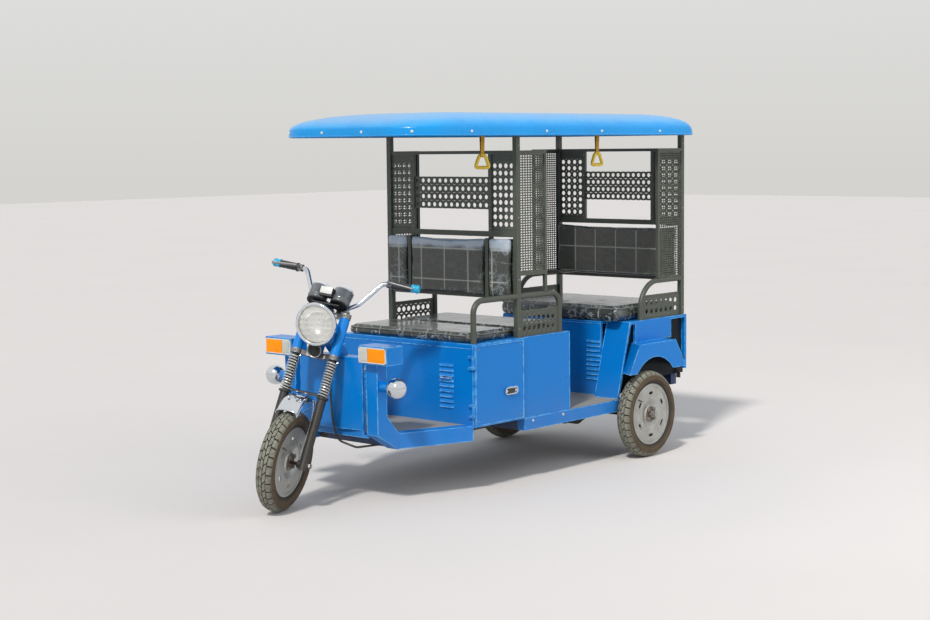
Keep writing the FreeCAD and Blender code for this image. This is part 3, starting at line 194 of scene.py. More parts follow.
class EffectLibrary:
    """Shader node groups, each made once and placed in the finishes with their own values."""

    def __init__(self) -> None:
        """Start with no group made."""
        self.groups: dict[Effect, Tree] = {}
        self.makers: dict[Effect, Callable[[], Tree]] = {
            Effect.DUST_AND_SHEEN: self.make_dust_and_sheen,
            Effect.WEAR_AND_HIGHLIGHT: self.make_wear_and_highlight,
            Effect.MOTTLE: self.make_mottle,
            Effect.GRAIN: self.make_grain,
            Effect.WRINKLE: self.make_wrinkle,
            Effect.PEEL: self.make_peel,
        }

    def get(self, effect: Effect) -> Tree:
        """Give a group, building it on first use.

        Args:
            effect: Which effect is wanted.

        Returns:
            The shader node group.
        """
        if effect not in self.groups:
            self.groups[effect] = self.makers[effect]()
        return self.groups[effect]

    @staticmethod
    def open_group(
        effect: Effect, inputs: Mapping[str, object], outputs: Sequence[str]
    ) -> tuple[Tree, Mapping[str, Socket], Mapping[str, Socket]]:
        """Make an empty group. A socket named Colour holds a colour and any other a number.

        Args:
            effect: The effect, which names the group.
            inputs: Default of each input.
            outputs: Names of the outputs.

        Returns:
            The tree, what comes in and what goes out.
        """
        tree = bpy.data.node_groups.new(effect.value, "ShaderNodeTree")
        kinds = {True: "NodeSocketColor", False: "NodeSocketFloat"}
        for name, default in inputs.items():
            socket = tree.interface.new_socket(name, in_out="INPUT", socket_type=kinds[name == "Colour"])
            socket.default_value = default
        for name in outputs:
            tree.interface.new_socket(name, in_out="OUTPUT", socket_type=kinds[name == "Colour"])
        return tree, tree.nodes.new("NodeGroupInput").outputs, tree.nodes.new("NodeGroupOutput").inputs

    def make_dust_and_sheen(self) -> Tree:
        """Dust that gathers low down and on what faces up, broken by noise; on the canopy, what lies on the faces that
        look up is a painted sheen.

        Returns:
            The group's tree.
        """
        inputs = {"Amount": 0.5, "Low": 0.2, "High": 0.6, "Scale": 9.0, "Upward": 0.3}
        tree, given, made = self.open_group(Effect.DUST_AND_SHEEN, inputs, ["Mask"])
        where = own_place(tree)
        height = ramp(tree, part_of(tree, where, "Z"), given["High"], given["Low"])
        normal = add_node(tree, "NewGeometry").outputs["Normal"]
        facing = calc(tree, "MULTIPLY", ramp(tree, part_of(tree, normal, "Z"), 0.3, 1.0), given["Upward"])
        reach = calc(tree, "MAXIMUM", height, facing)
        cloud = ramp(tree, noise_at(tree, where, given["Scale"], 6.0, 0.62), 0.36, 0.68)
        fine = ramp(tree, noise_at(tree, where, 160.0, 3.0), 0.3, 0.75)
        mask = calc(tree, "MULTIPLY", reach, calc(tree, "MULTIPLY_ADD", cloud, 0.75, 0.5, clamp=True))
        softer = calc(tree, "MULTIPLY", mask, calc(tree, "ADD", calc(tree, "MULTIPLY", fine, 0.4), 0.6))
        tree.links.new(calc(tree, "MULTIPLY", softer, given["Amount"], clamp=True), made["Mask"])
        return tree

    def make_wear_and_highlight(self) -> Tree:
        """Edges found by rounding the normals over a small radius: rubbed edges on some finishes, a painted highlight
        on others.

        Returns:
            The group's tree.
        """
        inputs = {"Amount": 0.5, "Radius": 0.004, "Scale": 30.0}
        tree, given, made = self.open_group(Effect.WEAR_AND_HIGHLIGHT, inputs, ["Mask"])
        rounded = add_node(tree, "Bevel", {"Radius": given["Radius"]}, samples=4).outputs[0]
        normal = add_node(tree, "NewGeometry").outputs["Normal"]
        turned = add_node(tree, "VectorMath", {0: rounded, 1: normal}, operation="DOT_PRODUCT").outputs["Value"]
        edge = ramp(tree, turned, 0.985, 0.86)
        broken = ramp(tree, noise_at(tree, own_place(tree), given["Scale"], 5.0, 0.65), 0.35, 0.6)
        mask = calc(tree, "MULTIPLY", calc(tree, "MULTIPLY", edge, broken), given["Amount"], clamp=True)
        tree.links.new(mask, made["Mask"])
        return tree

    def make_mottle(self) -> Tree:
        """Slow changes of tone, as paint and sheet metal have.

        Returns:
            The group's tree.
        """
        inputs = {"Colour": (0.5, 0.5, 0.5, 1), "Scale": 3.0, "Amount": 0.1}
        tree, given, made = self.open_group(Effect.MOTTLE, inputs, ["Colour", "Value"])
        where = own_place(tree)
        slow = calc(tree, "MULTIPLY", noise_at(tree, where, given["Scale"], 3.0), 0.75)
        fine = calc(tree, "MULTIPLY", noise_at(tree, where, 45.0), 0.25)
        both = calc(tree, "ADD", slow, fine)
        swing = calc(tree, "MULTIPLY", calc(tree, "SUBTRACT", both, 0.5), given["Amount"])
        value = calc(tree, "ADD", calc(tree, "MULTIPLY", swing, 2.0), 1.0)
        shade = add_node(tree, "HueSaturation", {"Color": given["Colour"], "Value": value})
        tree.links.new(shade.outputs[0], made["Colour"])
        tree.links.new(both, made["Value"])
        return tree

    def make_grain(self) -> Tree:
        """Pebbled grain of coated cloth.

        Returns:
            The group's tree.
        """
        tree, given, made = self.open_group(Effect.GRAIN, {"Scale": 420.0}, ["Height"])
        where = own_place(tree)
        inputs = {"Vector": where, "Scale": given["Scale"]}
        cell = add_node(tree, "TexVoronoi", inputs, feature="DISTANCE_TO_EDGE")
        pebble = ramp(tree, cell.outputs["Distance"], 0.0, 0.32)
        fine = calc(tree, "MULTIPLY", noise_at(tree, where, 900.0, 2.0), 0.3)
        tree.links.new(calc(tree, "ADD", pebble, fine), made["Height"])
        return tree

    def make_wrinkle(self) -> Tree:
        """Long creases of a thin clear film pulled over a cushion.

        Returns:
            The group's tree.
        """
        inputs = {"Scale": 7.0, "Stretch": 4.0}
        tree, given, made = self.open_group(Effect.WRINKLE, inputs, ["Height", "Creases"])
        where = own_place(tree)
        warp = add_node(tree, "TexNoise", {"Vector": where, "Scale": 5.0}).outputs["Color"]
        shift = {0: warp, 1: (0.12, 0.12, 0.12), 2: where}
        shifted = add_node(tree, "VectorMath", shift, operation="MULTIPLY_ADD").outputs[0]
        squeeze = add_node(tree, "CombineXYZ", {0: 1.0, 1: given["Stretch"], 2: given["Stretch"]}).outputs[0]
        long = add_node(tree, "VectorMath", {0: shifted, 1: squeeze}, operation="MULTIPLY").outputs[0]
        folds = noise_at(tree, long, given["Scale"], 5.0, 0.6)
        crest = calc(tree, "ABSOLUTE", calc(tree, "SUBTRACT", folds, 0.5))
        ridge = ramp(tree, crest, 0.02, 0.0)
        tree.links.new(ridge, made["Creases"])
        tree.links.new(calc(tree, "ADD", ridge, folds), made["Height"])
        return tree

    def make_peel(self) -> Tree:
        """Faint unevenness of sprayed paint over hand-beaten sheet.

        Returns:
            The group's tree.
        """
        tree, _, made = self.open_group(Effect.PEEL, {}, ["Height"])
        where = own_place(tree)
        fine = calc(tree, "MULTIPLY", noise_at(tree, where, 260.0, 2.0), 0.012)
        tree.links.new(calc(tree, "ADD", noise_at(tree, where, 4.5, 2.0), fine), made["Height"])
        return tree


EFFECTS = EffectLibrary()


class Nodes:
    """A material's node tree with its Principled shader and short ways to add to it."""

    def __init__(self, name: str) -> None:
        """Make the material.

        Args:
            name: Name of the material.
        """
        self.material = bpy.data.materials.new(name)
        self.material.use_nodes = True
        self.tree = self.material.node_tree
        self.shader = self.tree.nodes["Principled BSDF"]

    def effect(self, effect: Effect, **values: object) -> Mapping[str, Socket]:
        """Place a shared group.

        Args:
            effect: Which group.
            values: Values or sockets by input name.

        Returns:
            What the group puts out.
        """
        return add_node(self.tree, "Group", values, node_tree=EFFECTS.get(effect)).outputs

    def blend(self, mask: Socket, first: object, second: object) -> Socket:
        """Mix two colours by a mask.

        Args:
            mask: Socket from 0 to 1.
            first: Colour or socket where the mask is 0.
            second: Colour or socket where the mask is 1.

        Returns:
            The mixed colour's socket.
        """
        return add_node(self.tree, "Mix", {"Factor": mask, 6: first, 7: second}, data_type="RGBA").outputs[2]

    def spread(self, value: Socket, low: float, high: float) -> Socket:
        """Map a 0..1 socket to a plain range.

        Args:
            value: Socket to map.
            low: Value at 0.
            high: Value at 1.

        Returns:
            The mapped socket.
        """
        return add_node(self.tree, "MapRange", {"Value": value, "To Min": low, "To Max": high}).outputs["Result"]

    def lift(self, value: Socket, mask: Socket) -> Socket:
        """Raise a roughness towards matt where a mask is full.

        Args:
            value: Roughness of the clean surface.
            mask: Where dust lies.

        Returns:
            The mixed roughness.
        """
        return add_node(self.tree, "Mix", {"Factor": mask, "A": value, "B": DUSTY_ROUGH}).outputs["Result"]

    def mark(self, name: str) -> Socket:
        """Read a value that the mesh carries at its points."""
        return add_node(self.tree, "Attribute", attribute_name=name).outputs["Fac"]

    def bump(self, height: Socket, strength: float, distance: float) -> None:
        """Feed a height into the shader's normal.

        Args:
            height: Height socket.
            strength: Share of the effect.
            distance: Height of one unit in metres.
        """
        inputs = {"Strength": strength, "Distance": distance, "Height": height}
        self.shade(Normal=add_node(self.tree, "Bump", inputs).outputs[0])

    def shade(self, **values: object) -> None:
        """Feed the shader's inputs.

        Args:
            values: Sockets or plain values by input name, with _ for a space.
        """
        for name, value in values.items():
            feed(self.tree, self.shader.inputs[name.replace("_", " ")], value)

    def source(self, name: str) -> Socket:
        """Give the socket that feeds one of the shader's inputs so far."""
        return self.shader.inputs[name].links[0].from_socket


@dataclass(frozen=True)
class Finish:
    """A painted, plated, moulded or rubber surface with its dirt and wear, and on some finishes a painted sheen and
    painted edge highlights.

    Attributes:
        name: Name of the material.
        slot: Material slot of the record; not used.
        colour: Clean colour.
        tone: How far the colour swings from place to place.
        rough: Lowest and highest roughness.
        metallic: Whether it is bare or plated metal.
        coat: Weight of a clear coat.
        coat_rough: Roughness of the clear coat.
        gloss: Specular level.
        dents: Depth of slow unevenness, in metres.
        grain: Scale of a pebbled grain, or 0.
        dust_and_sheen: Share of dusting; on the canopy, share of painted sheen.
        dust_heights: Where dust is fullest and where it ends.
        dust_and_sheen_top: Share of dusting on what faces up; on the canopy, of painted sheen.
        dust_and_sheen_colour: Colour of the dusting; on the canopy, a pale cyan painted sheen.
        wear_and_highlight: Share of the colour that the edges take, rubbed on some finishes and a painted highlight on
            others.
        wear_and_highlight_colour: Colour that the edges take; on the blue paint, the canopy, the fork, the olive frame
            and bare steel it is a painted highlight.
        wear_and_highlight_radius: Reach of the edge colour, in metres.
    """

    name: str
    slot: str
    colour: Colour
    tone: float = 0.1
    rough: Pair = (0.3, 0.45)
    metallic: float = 0.0
    coat: float = 0.0
    coat_rough: float = 0.06
    gloss: float = 0.5
    dents: float = 0.0004
    grain: float = 0.0
    dust_and_sheen: float = 0.35
    dust_heights: Pair = (0.2, 0.75)
    dust_and_sheen_top: float = 0.35
    dust_and_sheen_colour: Colour = srgb(150, 138, 120)
    wear_and_highlight: float = 0.0
    # the pale blue default edge colour is a painted highlight
    wear_and_highlight_colour: Colour = srgb(150, 190, 220)
    wear_and_highlight_radius: float = 0.003

    def material(self) -> bpy.types.Material:
        """Give the material, made on first use.

        Returns:
            The material.
        """
        made = bpy.data.materials.get(self.name)
        if made is None:
            nodes = Nodes(self.name)
            self.build(nodes)
            made = nodes.material
        return made

    def clean(self, nodes: Nodes) -> Socket:
        """Give the colour before wear and dust."""
        return nodes.effect(Effect.MOTTLE, Colour=self.colour, Amount=self.tone)["Colour"]

    def build(self, nodes: Nodes) -> None:
        """Join colour, edge colour with its painted highlights, dust with its painted sheen, roughness and bump.

        Args:
            nodes: Nodes of the material.
        """
        colour = self.clean(nodes)
        value = nodes.effect(Effect.MOTTLE, Amount=self.tone, Scale=6.0)["Value"]
        rough = nodes.spread(value, *self.rough)
        # edge colour: a painted highlight on the finishes whose edge colour is pale
        if self.wear_and_highlight:
            worn_and_lit = nodes.effect(Effect.WEAR_AND_HIGHLIGHT, Amount=self.wear_and_highlight, Radius=self.wear_and_highlight_radius)["Mask"]
            colour = nodes.blend(worn_and_lit, colour, self.wear_and_highlight_colour)
        # dust low down and on faces that look up; on the canopy, the pale cyan on faces that look up is a painted sheen
        if self.dust_and_sheen:
            low, high = self.dust_heights
            dusty = nodes.effect(Effect.DUST_AND_SHEEN, Amount=self.dust_and_sheen, Low=low, High=high, Upward=self.dust_and_sheen_top)["Mask"]
            colour = nodes.blend(dusty, colour, self.dust_and_sheen_colour)
            rough = nodes.lift(rough, dusty)
        nodes.shade(Base_Color=colour, Roughness=rough, Metallic=self.metallic, Specular_IOR_Level=self.gloss)
        if self.coat:
            nodes.shade(Coat_Weight=self.coat, Coat_Roughness=self.coat_rough)
        self.relief(nodes)

    def relief(self, nodes: Nodes) -> None:
        """Join the bump.

        Args:
            nodes: Nodes of the material.
        """
        if self.grain:
            nodes.bump(nodes.effect(Effect.GRAIN, Scale=self.grain)["Height"], 0.5, 0.0006)
        else:
            nodes.bump(nodes.effect(Effect.PEEL)["Height"], 1.0, self.dents)


@dataclass(frozen=True)
class FilmedVinyl(Finish):
    """Seat vinyl under the clear, creased film that it was delivered in, with pale sewn lines, painted highlights on
    the film's creases and painted reflection on the film.

    Attributes:
        crease_highlight_colour: Colour of the painted highlight on the film's creases.
        thread: Colour of the sewn lines.
        film_reflection_colour: Colour of the painted reflection on the film where it stands off.
        film_reflection_height: Height from which the film shows the painted reflection, in metres.
        creases: Share of the painted highlight on the film's creases away from the edges.
        folds: Depth of the film's folds, in metres.
        film_reflection: Share of patches of painted reflection all over the film.
    """

    crease_highlight_colour: Colour = srgb(176, 186, 192)
    thread: Colour = srgb(186, 188, 172)
    film_reflection_colour: Colour = srgb(188, 200, 212)
    film_reflection_height: float = 9.0
    creases: float = 0.12
    folds: float = 0.002
    film_reflection: float = 0.0

    def film(self, nodes: Nodes) -> Mapping[str, Socket]:
        """Give the film's creases and their height."""
        return nodes.effect(Effect.WRINKLE, Scale=7.0, Stretch=1.8)

    def clean(self, nodes: Nodes) -> Socket:
        """Mix the vinyl with the sewn lines, the painted highlight on the film's creases and the film's painted
        reflection.

        Args:
            nodes: Nodes of the material.

        Returns:
            The colour's socket.
        """
        tree = nodes.tree
        colour = nodes.blend(nodes.mark("seam"), Finish.clean(self, nodes), self.thread)
        # painted highlight on the film's creases, stronger towards the cushion's rim
        gathered = calc(tree, "MULTIPLY_ADD", nodes.mark("rim"), 0.4, self.creases)
        crease_lit = calc(tree, "MULTIPLY", self.film(nodes)["Creases"], gathered, clamp=True)
        colour = nodes.blend(crease_lit, colour, self.crease_highlight_colour)
        # painted reflection: the film turns pale from a height up and in patches
        where = own_place(tree)
        cloud = calc(tree, "MULTIPLY", noise_at(tree, where, 9.0, 5.0), 0.06)
        lifted = calc(tree, "ADD", part_of(tree, where, "Z"), cloud)
        high = ramp(tree, lifted, self.film_reflection_height, self.film_reflection_height + 0.03)
        if self.film_reflection:
            patch = ramp(tree, noise_at(tree, where, 14.0, 6.0, 0.7), 0.5, 0.68)
            high = calc(tree, "MAXIMUM", high, calc(tree, "MULTIPLY", patch, self.film_reflection))
        return nodes.blend(calc(tree, "MULTIPLY", high, 0.8), colour, self.film_reflection_colour)

    def relief(self, nodes: Nodes) -> None:
        """Crease the film."""
        nodes.bump(self.film(nodes)["Height"], 0.8, self.folds)
        nodes.shade(Coat_Weight=0.5, Coat_Roughness=0.1)


@dataclass(frozen=True)
class TyreRubber(Finish):
    """Rubber with dry grey dust on the tread and a brown band of mud on the side walls.

    Attributes:
        top_dust: Colour of the dust on the tread's blocks.
        band: Colour of the mud round the side walls.
    """

    top_dust: Colour = srgb(140, 140, 126)
    band: Colour = srgb(92, 76, 56)

    def clean(self, nodes: Nodes) -> Socket:
        """Mix rubber, mud and the dust on the blocks.

        Args:
            nodes: Nodes of the material.

        Returns:
            The colour's socket.
        """
        tree = nodes.tree
        where = own_place(tree)
        cloud = ramp(tree, noise_at(tree, where, 26.0, 6.0, 0.65), 0.28, 0.62)
        muddy = calc(tree, "MULTIPLY", nodes.mark("band"), nodes.spread(cloud, 0.45, 0.95))
        colour = nodes.blend(muddy, Finish.clean(self, nodes), self.band)
        speckle = ramp(tree, noise_at(tree, where, 70.0, 5.0, 0.6), 0.3, 0.6)
        dusty = calc(tree, "MULTIPLY", nodes.mark("tread"), nodes.spread(speckle, 0.5, 0.9))
        return nodes.blend(dusty, colour, self.top_dust)


@dataclass(frozen=True)
class PaintedShadeBody(Finish):
    """Body paint with painted shade: near black inside the wheel houses and on faces that look inwards or down.

    Attributes:
        house: Least and greatest distance of the wheel house's sheet from the middle, in metres.
        painted_shade: Colour of the painted shade.
    """

    house: Pair = (0.39, 0.412)
    painted_shade: Colour = srgb(20, 26, 34)

    def build(self, nodes: Nodes) -> None:
        """Darken the faces that look inwards or down, and the wheel house's sheet, as painted shade.

        Args:
            nodes: Nodes of the material.
        """
        Finish.build(self, nodes)
        tree = nodes.tree
        place = part_of(tree, own_place(tree), "X")
        normal = add_node(tree, "NewGeometry").outputs["True Normal"]
        facing = {axis: part_of(tree, normal, axis) for axis in "XYZ"}
        across = calc(tree, "ABSOLUTE", place)
        inner, outer = self.house
        past_inner = ramp(tree, across, inner - 0.001, inner)
        short_of_outer = ramp(tree, across, outer + 0.001, outer)
        sideways = ramp(tree, calc(tree, "ABSOLUTE", facing["X"]), 0.6, 0.8)
        house = calc(tree, "MULTIPLY", calc(tree, "MULTIPLY", past_inner, short_of_outer), sideways)
        inward = ramp(tree, calc(tree, "MULTIPLY", place, facing["X"]), -0.02, -0.12)
        inward = calc(tree, "MULTIPLY", inward, ramp(tree, facing["Y"], -0.6, -0.5))
        down = ramp(tree, facing["Z"], -0.25, -0.6)
        # painted shade: the wheel house's sheet and the faces that look inwards or down turn near black
        mask = calc(tree, "MAXIMUM", house, calc(tree, "MAXIMUM", inward, down))
        painted = nodes.blend(mask, nodes.source("Base Color"), self.painted_shade)
        nodes.shade(Base_Color=painted, Roughness=nodes.lift(nodes.source("Roughness"), mask))


@dataclass(frozen=True)
class Lens(Finish):
    """Moulded clear plastic over a bright reflector, with a painted glow in its own colour.

    Attributes:
        ribs: How many ribs there are in a metre, across the vehicle.
        painted_glow: Share of its own colour that it gives off as a painted glow, standing for the light that the
            reflector throws back.
    """

    ribs: float = 180.0
    painted_glow: float = 0.12

    def build(self, nodes: Nodes) -> None:
        """Add ribs and a painted glow for the reflector's shine."""
        Finish.build(self, nodes)
        nodes.shade(Coat_Weight=0.2, Coat_Roughness=0.03)
        # painted glow: the lens gives off a share of its own colour
        nodes.shade(Emission_Strength=self.painted_glow, Emission_Color=self.clean(nodes))

    def relief(self, nodes: Nodes) -> None:
        """Rib the lens by a wave."""
        inputs = {"Vector": own_place(nodes.tree), "Scale": self.ribs / 3.2}
        nodes.bump(add_node(nodes.tree, "TexWave", inputs, bands_direction="X").outputs["Fac"], 0.8, 0.002)


@dataclass(frozen=True)
class ClearGlass(Finish):
    """Headlight glass that shows the reflector behind it.

    Attributes:
        flutes: Scale of the upright and of the level flutes, by the axis that they follow each other along.
    """

    flutes: tuple[tuple[str, float], ...] = (("X", 30.0), ("Z", 12.0))

    def build(self, nodes: Nodes) -> None:
        """Make it clear, with a faint veil of dust.

        Args:
            nodes: Nodes of the material.
        """
        dusty = nodes.effect(Effect.DUST_AND_SHEEN, Amount=0.3, Low=2.0, High=3.0)["Mask"]
        nodes.shade(Base_Color=nodes.blend(dusty, self.colour, self.dust_and_sheen_colour))
        nodes.shade(Roughness=nodes.spread(dusty, 0.02, 0.25), Alpha=nodes.spread(dusty, 0.34, 0.6))
        nodes.shade(IOR=1.45, Coat_Weight=1.0, Coat_Roughness=0.02)
        self.relief(nodes)

    def relief(self, nodes: Nodes) -> None:
        """Cross upright and level flutes.

        Args:
            nodes: Nodes of the material.
        """
        waves = []
        for axis, scale in self.flutes:
            inputs = {"Vector": own_place(nodes.tree), "Scale": scale}
            waves.append(add_node(nodes.tree, "TexWave", inputs, bands_direction=axis).outputs["Fac"])
        nodes.bump(calc(nodes.tree, "MAXIMUM", *waves), 1.0, 0.004)


@dataclass(frozen=True)
class TwoPart(Finish):
    """A finish that changes to another colour outside a ball, as a plated lamp on a painted stub does.

    Attributes:
        centre: Centre of the ball, with every coordinate above 0.
        radius: Radius of the ball, in metres.
        outside: Colour outside it.
    """

    centre: tuple[float, float, float] = (0.0, 0.0, 0.0)
    radius: float = 0.05
    outside: Colour = (0.1, 0.1, 0.1)

    def build(self, nodes: Nodes) -> None:
        """Split colour and metal at the ball's surface.

        Args:
            nodes: Nodes of the material.
        """
        Finish.build(self, nodes)
        tree = nodes.tree
        folded = add_node(tree, "VectorMath", {0: own_place(tree)}, operation="ABSOLUTE").outputs[0]
        away = add_node(tree, "VectorMath", {0: folded, 1: self.centre}, operation="DISTANCE").outputs["Value"]
        mask = ramp(tree, away, self.radius, self.radius + 0.0008)
        colour = nodes.blend(mask, nodes.source("Base Color"), self.outside)
        nodes.shade(Base_Color=colour, Metallic=nodes.spread(mask, self.metallic, 0.0))


BLUE = srgb(0, 118, 200)
EARTH = srgb(112, 98, 84)


class Look(Enum):
    """Every finish of the vehicle."""

    # pale cyan edges: a painted highlight
    BODY = Finish(
        "blue body paint", "blue_body_paint", BLUE, 0.1, (0.22, 0.36), coat=0.15, gloss=0.2, dents=0.004,
        dust_and_sheen=0.14, dust_heights=(0.22, 0.5), dust_and_sheen_top=0.1,
        wear_and_highlight=0.95, wear_and_highlight_colour=srgb(128, 206, 248), wear_and_highlight_radius=0.008,
    )
    # rear body and fenders: blue paint with painted shade in the wheel houses and on faces that look inwards or down
    HOUSED = PaintedShadeBody(**(vars(BODY) | {"name": "blue paint with painted wheel house shade"}))
    # pale blue default edges: a painted highlight
    FORK = Finish(
        "blue fork paint", "blue_body_paint", srgb(4, 126, 212), 0.1, (0.22, 0.36), coat=0.2, gloss=0.3,
        dust_and_sheen=0.1, wear_and_highlight=0.6,
    )
    # pale cyan on faces that look up: a painted sheen; pale cyan edges: a painted highlight
    CANOPY = Finish(
        "blue canopy gelcoat", "blue_canopy_gelcoat", srgb(6, 148, 222), 0.2, (0.2, 0.38), coat=0.3, gloss=0.3,
        dents=0.006, dust_and_sheen=0.3, dust_heights=(0.1, 0.2), dust_and_sheen_top=0.8, dust_and_sheen_colour=srgb(140, 222, 246),
        wear_and_highlight=0.4, wear_and_highlight_colour=srgb(170, 220, 248),
    )
    # pale grey edges: a painted highlight
    CABIN = Finish(
        "olive frame paint", "olive_frame_paint", srgb(70, 75, 66), 0.14, (0.32, 0.5), dents=0.0012,
        dust_and_sheen=0.25, dust_and_sheen_top=0.4, wear_and_highlight=0.55, wear_and_highlight_colour=srgb(150, 152, 140),
    )
    CHASSIS = Finish(
        "black chassis paint", "black_chassis_paint", srgb(34, 33, 32), 0.2, (0.45, 0.7),
        dust_and_sheen=0.42, dust_heights=(0.2, 0.9), dust_and_sheen_colour=EARTH, wear_and_highlight=0.3, wear_and_highlight_colour=srgb(110, 96, 84),
    )
    # dark blue: the members' blue paint darkened as painted shade under the seat box
    CROSS = Finish(
        "dark blue members with painted shade", "black_chassis_paint", srgb(10, 50, 96), 0.2, (0.4, 0.6),
        dust_and_sheen=0.2, dust_heights=(0.2, 0.5), wear_and_highlight=0.2, wear_and_highlight_colour=srgb(50, 90, 130),
    )
    LEG = Finish(
        "black fork enamel", "bare_steel", srgb(38, 39, 40), 0.2, (0.3, 0.5), metallic=0.2,
        dust_and_sheen=0.3, dust_heights=(0.2, 0.7), dust_and_sheen_colour=EARTH, wear_and_highlight=0.5, wear_and_highlight_colour=srgb(120, 118, 112),
    )
    WHEEL = Finish(
        "silver wheel paint", "silver_wheel_paint", srgb(196, 199, 196), 0.3, (0.2, 0.5), metallic=0.8, dents=0.004,
        dust_and_sheen=0.45, dust_heights=(0.3, 0.9), dust_and_sheen_colour=EARTH, wear_and_highlight=0.4, wear_and_highlight_colour=srgb(100, 84, 70),
    )
    HUB = Finish(
        "brown hub", "silver_wheel_paint", srgb(112, 92, 72), 0.3, (0.4, 0.65), metallic=0.4,
        dust_and_sheen=0.6, dust_and_sheen_colour=EARTH,
    )
    CHROME = Finish(
        "chrome", "chrome_plate", srgb(216, 220, 224), 0.06, (0.05, 0.14), metallic=1.0, dust_and_sheen=0.15,
    )
    MIRROR = Finish(
        "bright reflector", "chrome_plate", srgb(248, 248, 244), 0.04, (0.12, 0.22), metallic=0.75, dust_and_sheen=0.05,
    )
    SPRING = Finish(
        "bright spring steel", "bright_steel", srgb(196, 198, 196), 0.12, (0.16, 0.32), metallic=0.9, dust_and_sheen=0.2,
    )
    # pale blue default edges: a painted highlight
    STEEL = Finish(
        "bare steel", "bare_steel", srgb(138, 138, 136), 0.2, (0.3, 0.5), metallic=0.85, dust_and_sheen=0.35, wear_and_highlight=0.2,
    )
    TYRE = TyreRubber(
        "dusty tyre rubber", "tyre_rubber", srgb(40, 38, 35), 0.25, (0.72, 0.92), grain=260.0, dust_and_sheen=0.0,
        wear_and_highlight=0.25, wear_and_highlight_colour=srgb(128, 124, 110), wear_and_highlight_radius=0.002,
    )
    # cushions: pale film creases and patches are painted highlights and painted reflection
    VINYL = FilmedVinyl(
        "filmed cushion vinyl", "black_seat_vinyl", srgb(50, 54, 50), 0.1, (0.22, 0.36),
        dust_and_sheen=0.08, dust_heights=(0.2, 0.4), creases=0.75, folds=0.004, film_reflection=0.16,
    )
    # rear backrest: painted reflection on the film high up
    VINYL_BACK = FilmedVinyl(
        "filmed rear backrest vinyl", "black_seat_vinyl", srgb(54, 58, 50), 0.08, (0.26, 0.38),
        dust_and_sheen=0.08, dust_heights=(0.2, 0.4), film_reflection_height=1.218, creases=0.03, folds=0.0012,
    )
    # driver's middle pad: painted reflection on the film high up
    VINYL_TOP_REFLECTION = replace(
        VINYL_BACK, name="filmed backrest vinyl", colour=srgb(54, 58, 52), film_reflection_height=1.165, creases=0.12,
        folds=0.0016,
    )
    # driver's side pads: patches of painted reflection as well
    VINYL_REFLECTING = replace(VINYL_TOP_REFLECTION, name="backrest vinyl with painted reflection", creases=0.3, folds=0.002, film_reflection=0.42)
    FLOOR = Finish(
        "grey floor sheet", "grey_floor_sheet", srgb(142, 142, 138), 0.2, (0.5, 0.75), dents=0.002,
        dust_and_sheen=0.5, dust_and_sheen_top=0.7,
    )
    PLASTIC = Finish("black plastic", "black_plastic", srgb(36, 37, 39), 0.15, (0.35, 0.55), dust_and_sheen=0.3, grain=520.0)
    RUBBER = Finish("black rubber", "black_rubber", srgb(32, 32, 33), 0.15, (0.5, 0.72), grain=420.0)
    CAP = Finish("cyan grip cap", "blue_body_paint", srgb(40, 166, 206), 0.08, dust_and_sheen=0.1)
    GRIP = Finish("grey grip rubber", "black_rubber", srgb(66, 68, 70), 0.12, (0.5, 0.7), dust_and_sheen=0.2, grain=420.0)
    RING = Finish(
        "yellow ring plastic", "yellow_plastic", srgb(222, 186, 34), 0.08, (0.22, 0.36), coat=0.4, dust_and_sheen=0.1,
    )
    STRAP = Finish(
        "amber webbing", "yellow_plastic", srgb(186, 140, 40), 0.2, (0.55, 0.75), grain=700.0, dust_and_sheen=0.1,
    )
    # amber, clear and red lenses each give off a painted glow in their own colour
    AMBER = Lens(
        "amber lens", "amber_lens", srgb(250, 146, 0), 0.2, (0.16, 0.3), gloss=0.15, dust_and_sheen=0.02, painted_glow=0.16,
    )
    CLEAR = Lens(
        "clear lens", "lamp_glass", srgb(206, 208, 200), 0.08, (0.06, 0.14), metallic=0.3, dust_and_sheen=0.2, painted_glow=0.05,
    )
    RED = Lens("red lens", "red_lens", srgb(176, 18, 14), 0.1, (0.08, 0.16), dust_and_sheen=0.3)
    GLASS = ClearGlass("headlight glass", "lamp_glass", srgb(240, 240, 238))
    WHITE = Finish("white plastic", "lamp_glass", srgb(214, 216, 212), 0.06, dust_and_sheen=0.2)
    DIAL = Finish("gauge dome", "black_plastic", srgb(226, 228, 230), 0.08, (0.14, 0.26), coat=0.6, dust_and_sheen=0.1)
    GAUGE = Finish(
        "grey gauge shell", "black_plastic", srgb(104, 107, 110), 0.2, (0.2, 0.36), metallic=0.3, coat=0.3,
        dust_and_sheen=0.15,
    )
    PIPING = Finish(
        "pale piping", "black_seat_vinyl", srgb(120, 122, 112), 0.2, (0.4, 0.6), dust_and_sheen=0.15, grain=600.0,
    )
    BALL = TwoPart(
        "plated ball on a blue stub", "chrome_plate", srgb(212, 216, 220), 0.06, (0.06, 0.16), metallic=1.0,
        dust_and_sheen=0.12, centre=(0.403, 0.891, 0.56), radius=0.0484, outside=BLUE,
    )


def stand(centre: Vector, up: Vector) -> Matrix:
    """Give the matrix that takes the local Z axis to a direction.

    Args:
        centre: Where the local origin goes.
        up: Where the local Z axis points.

    Returns:
        The matrix.
    """
    turn = Vector(up).normalized().to_track_quat("Z", "Y").to_matrix().to_4x4()
    return Matrix.Translation(centre) @ turn


def middle(node: str) -> Vector:
    """Give the middle of a CAD node's box at rest."""
    low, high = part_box(node)
    return (Vector(low) + Vector(high)) / 2


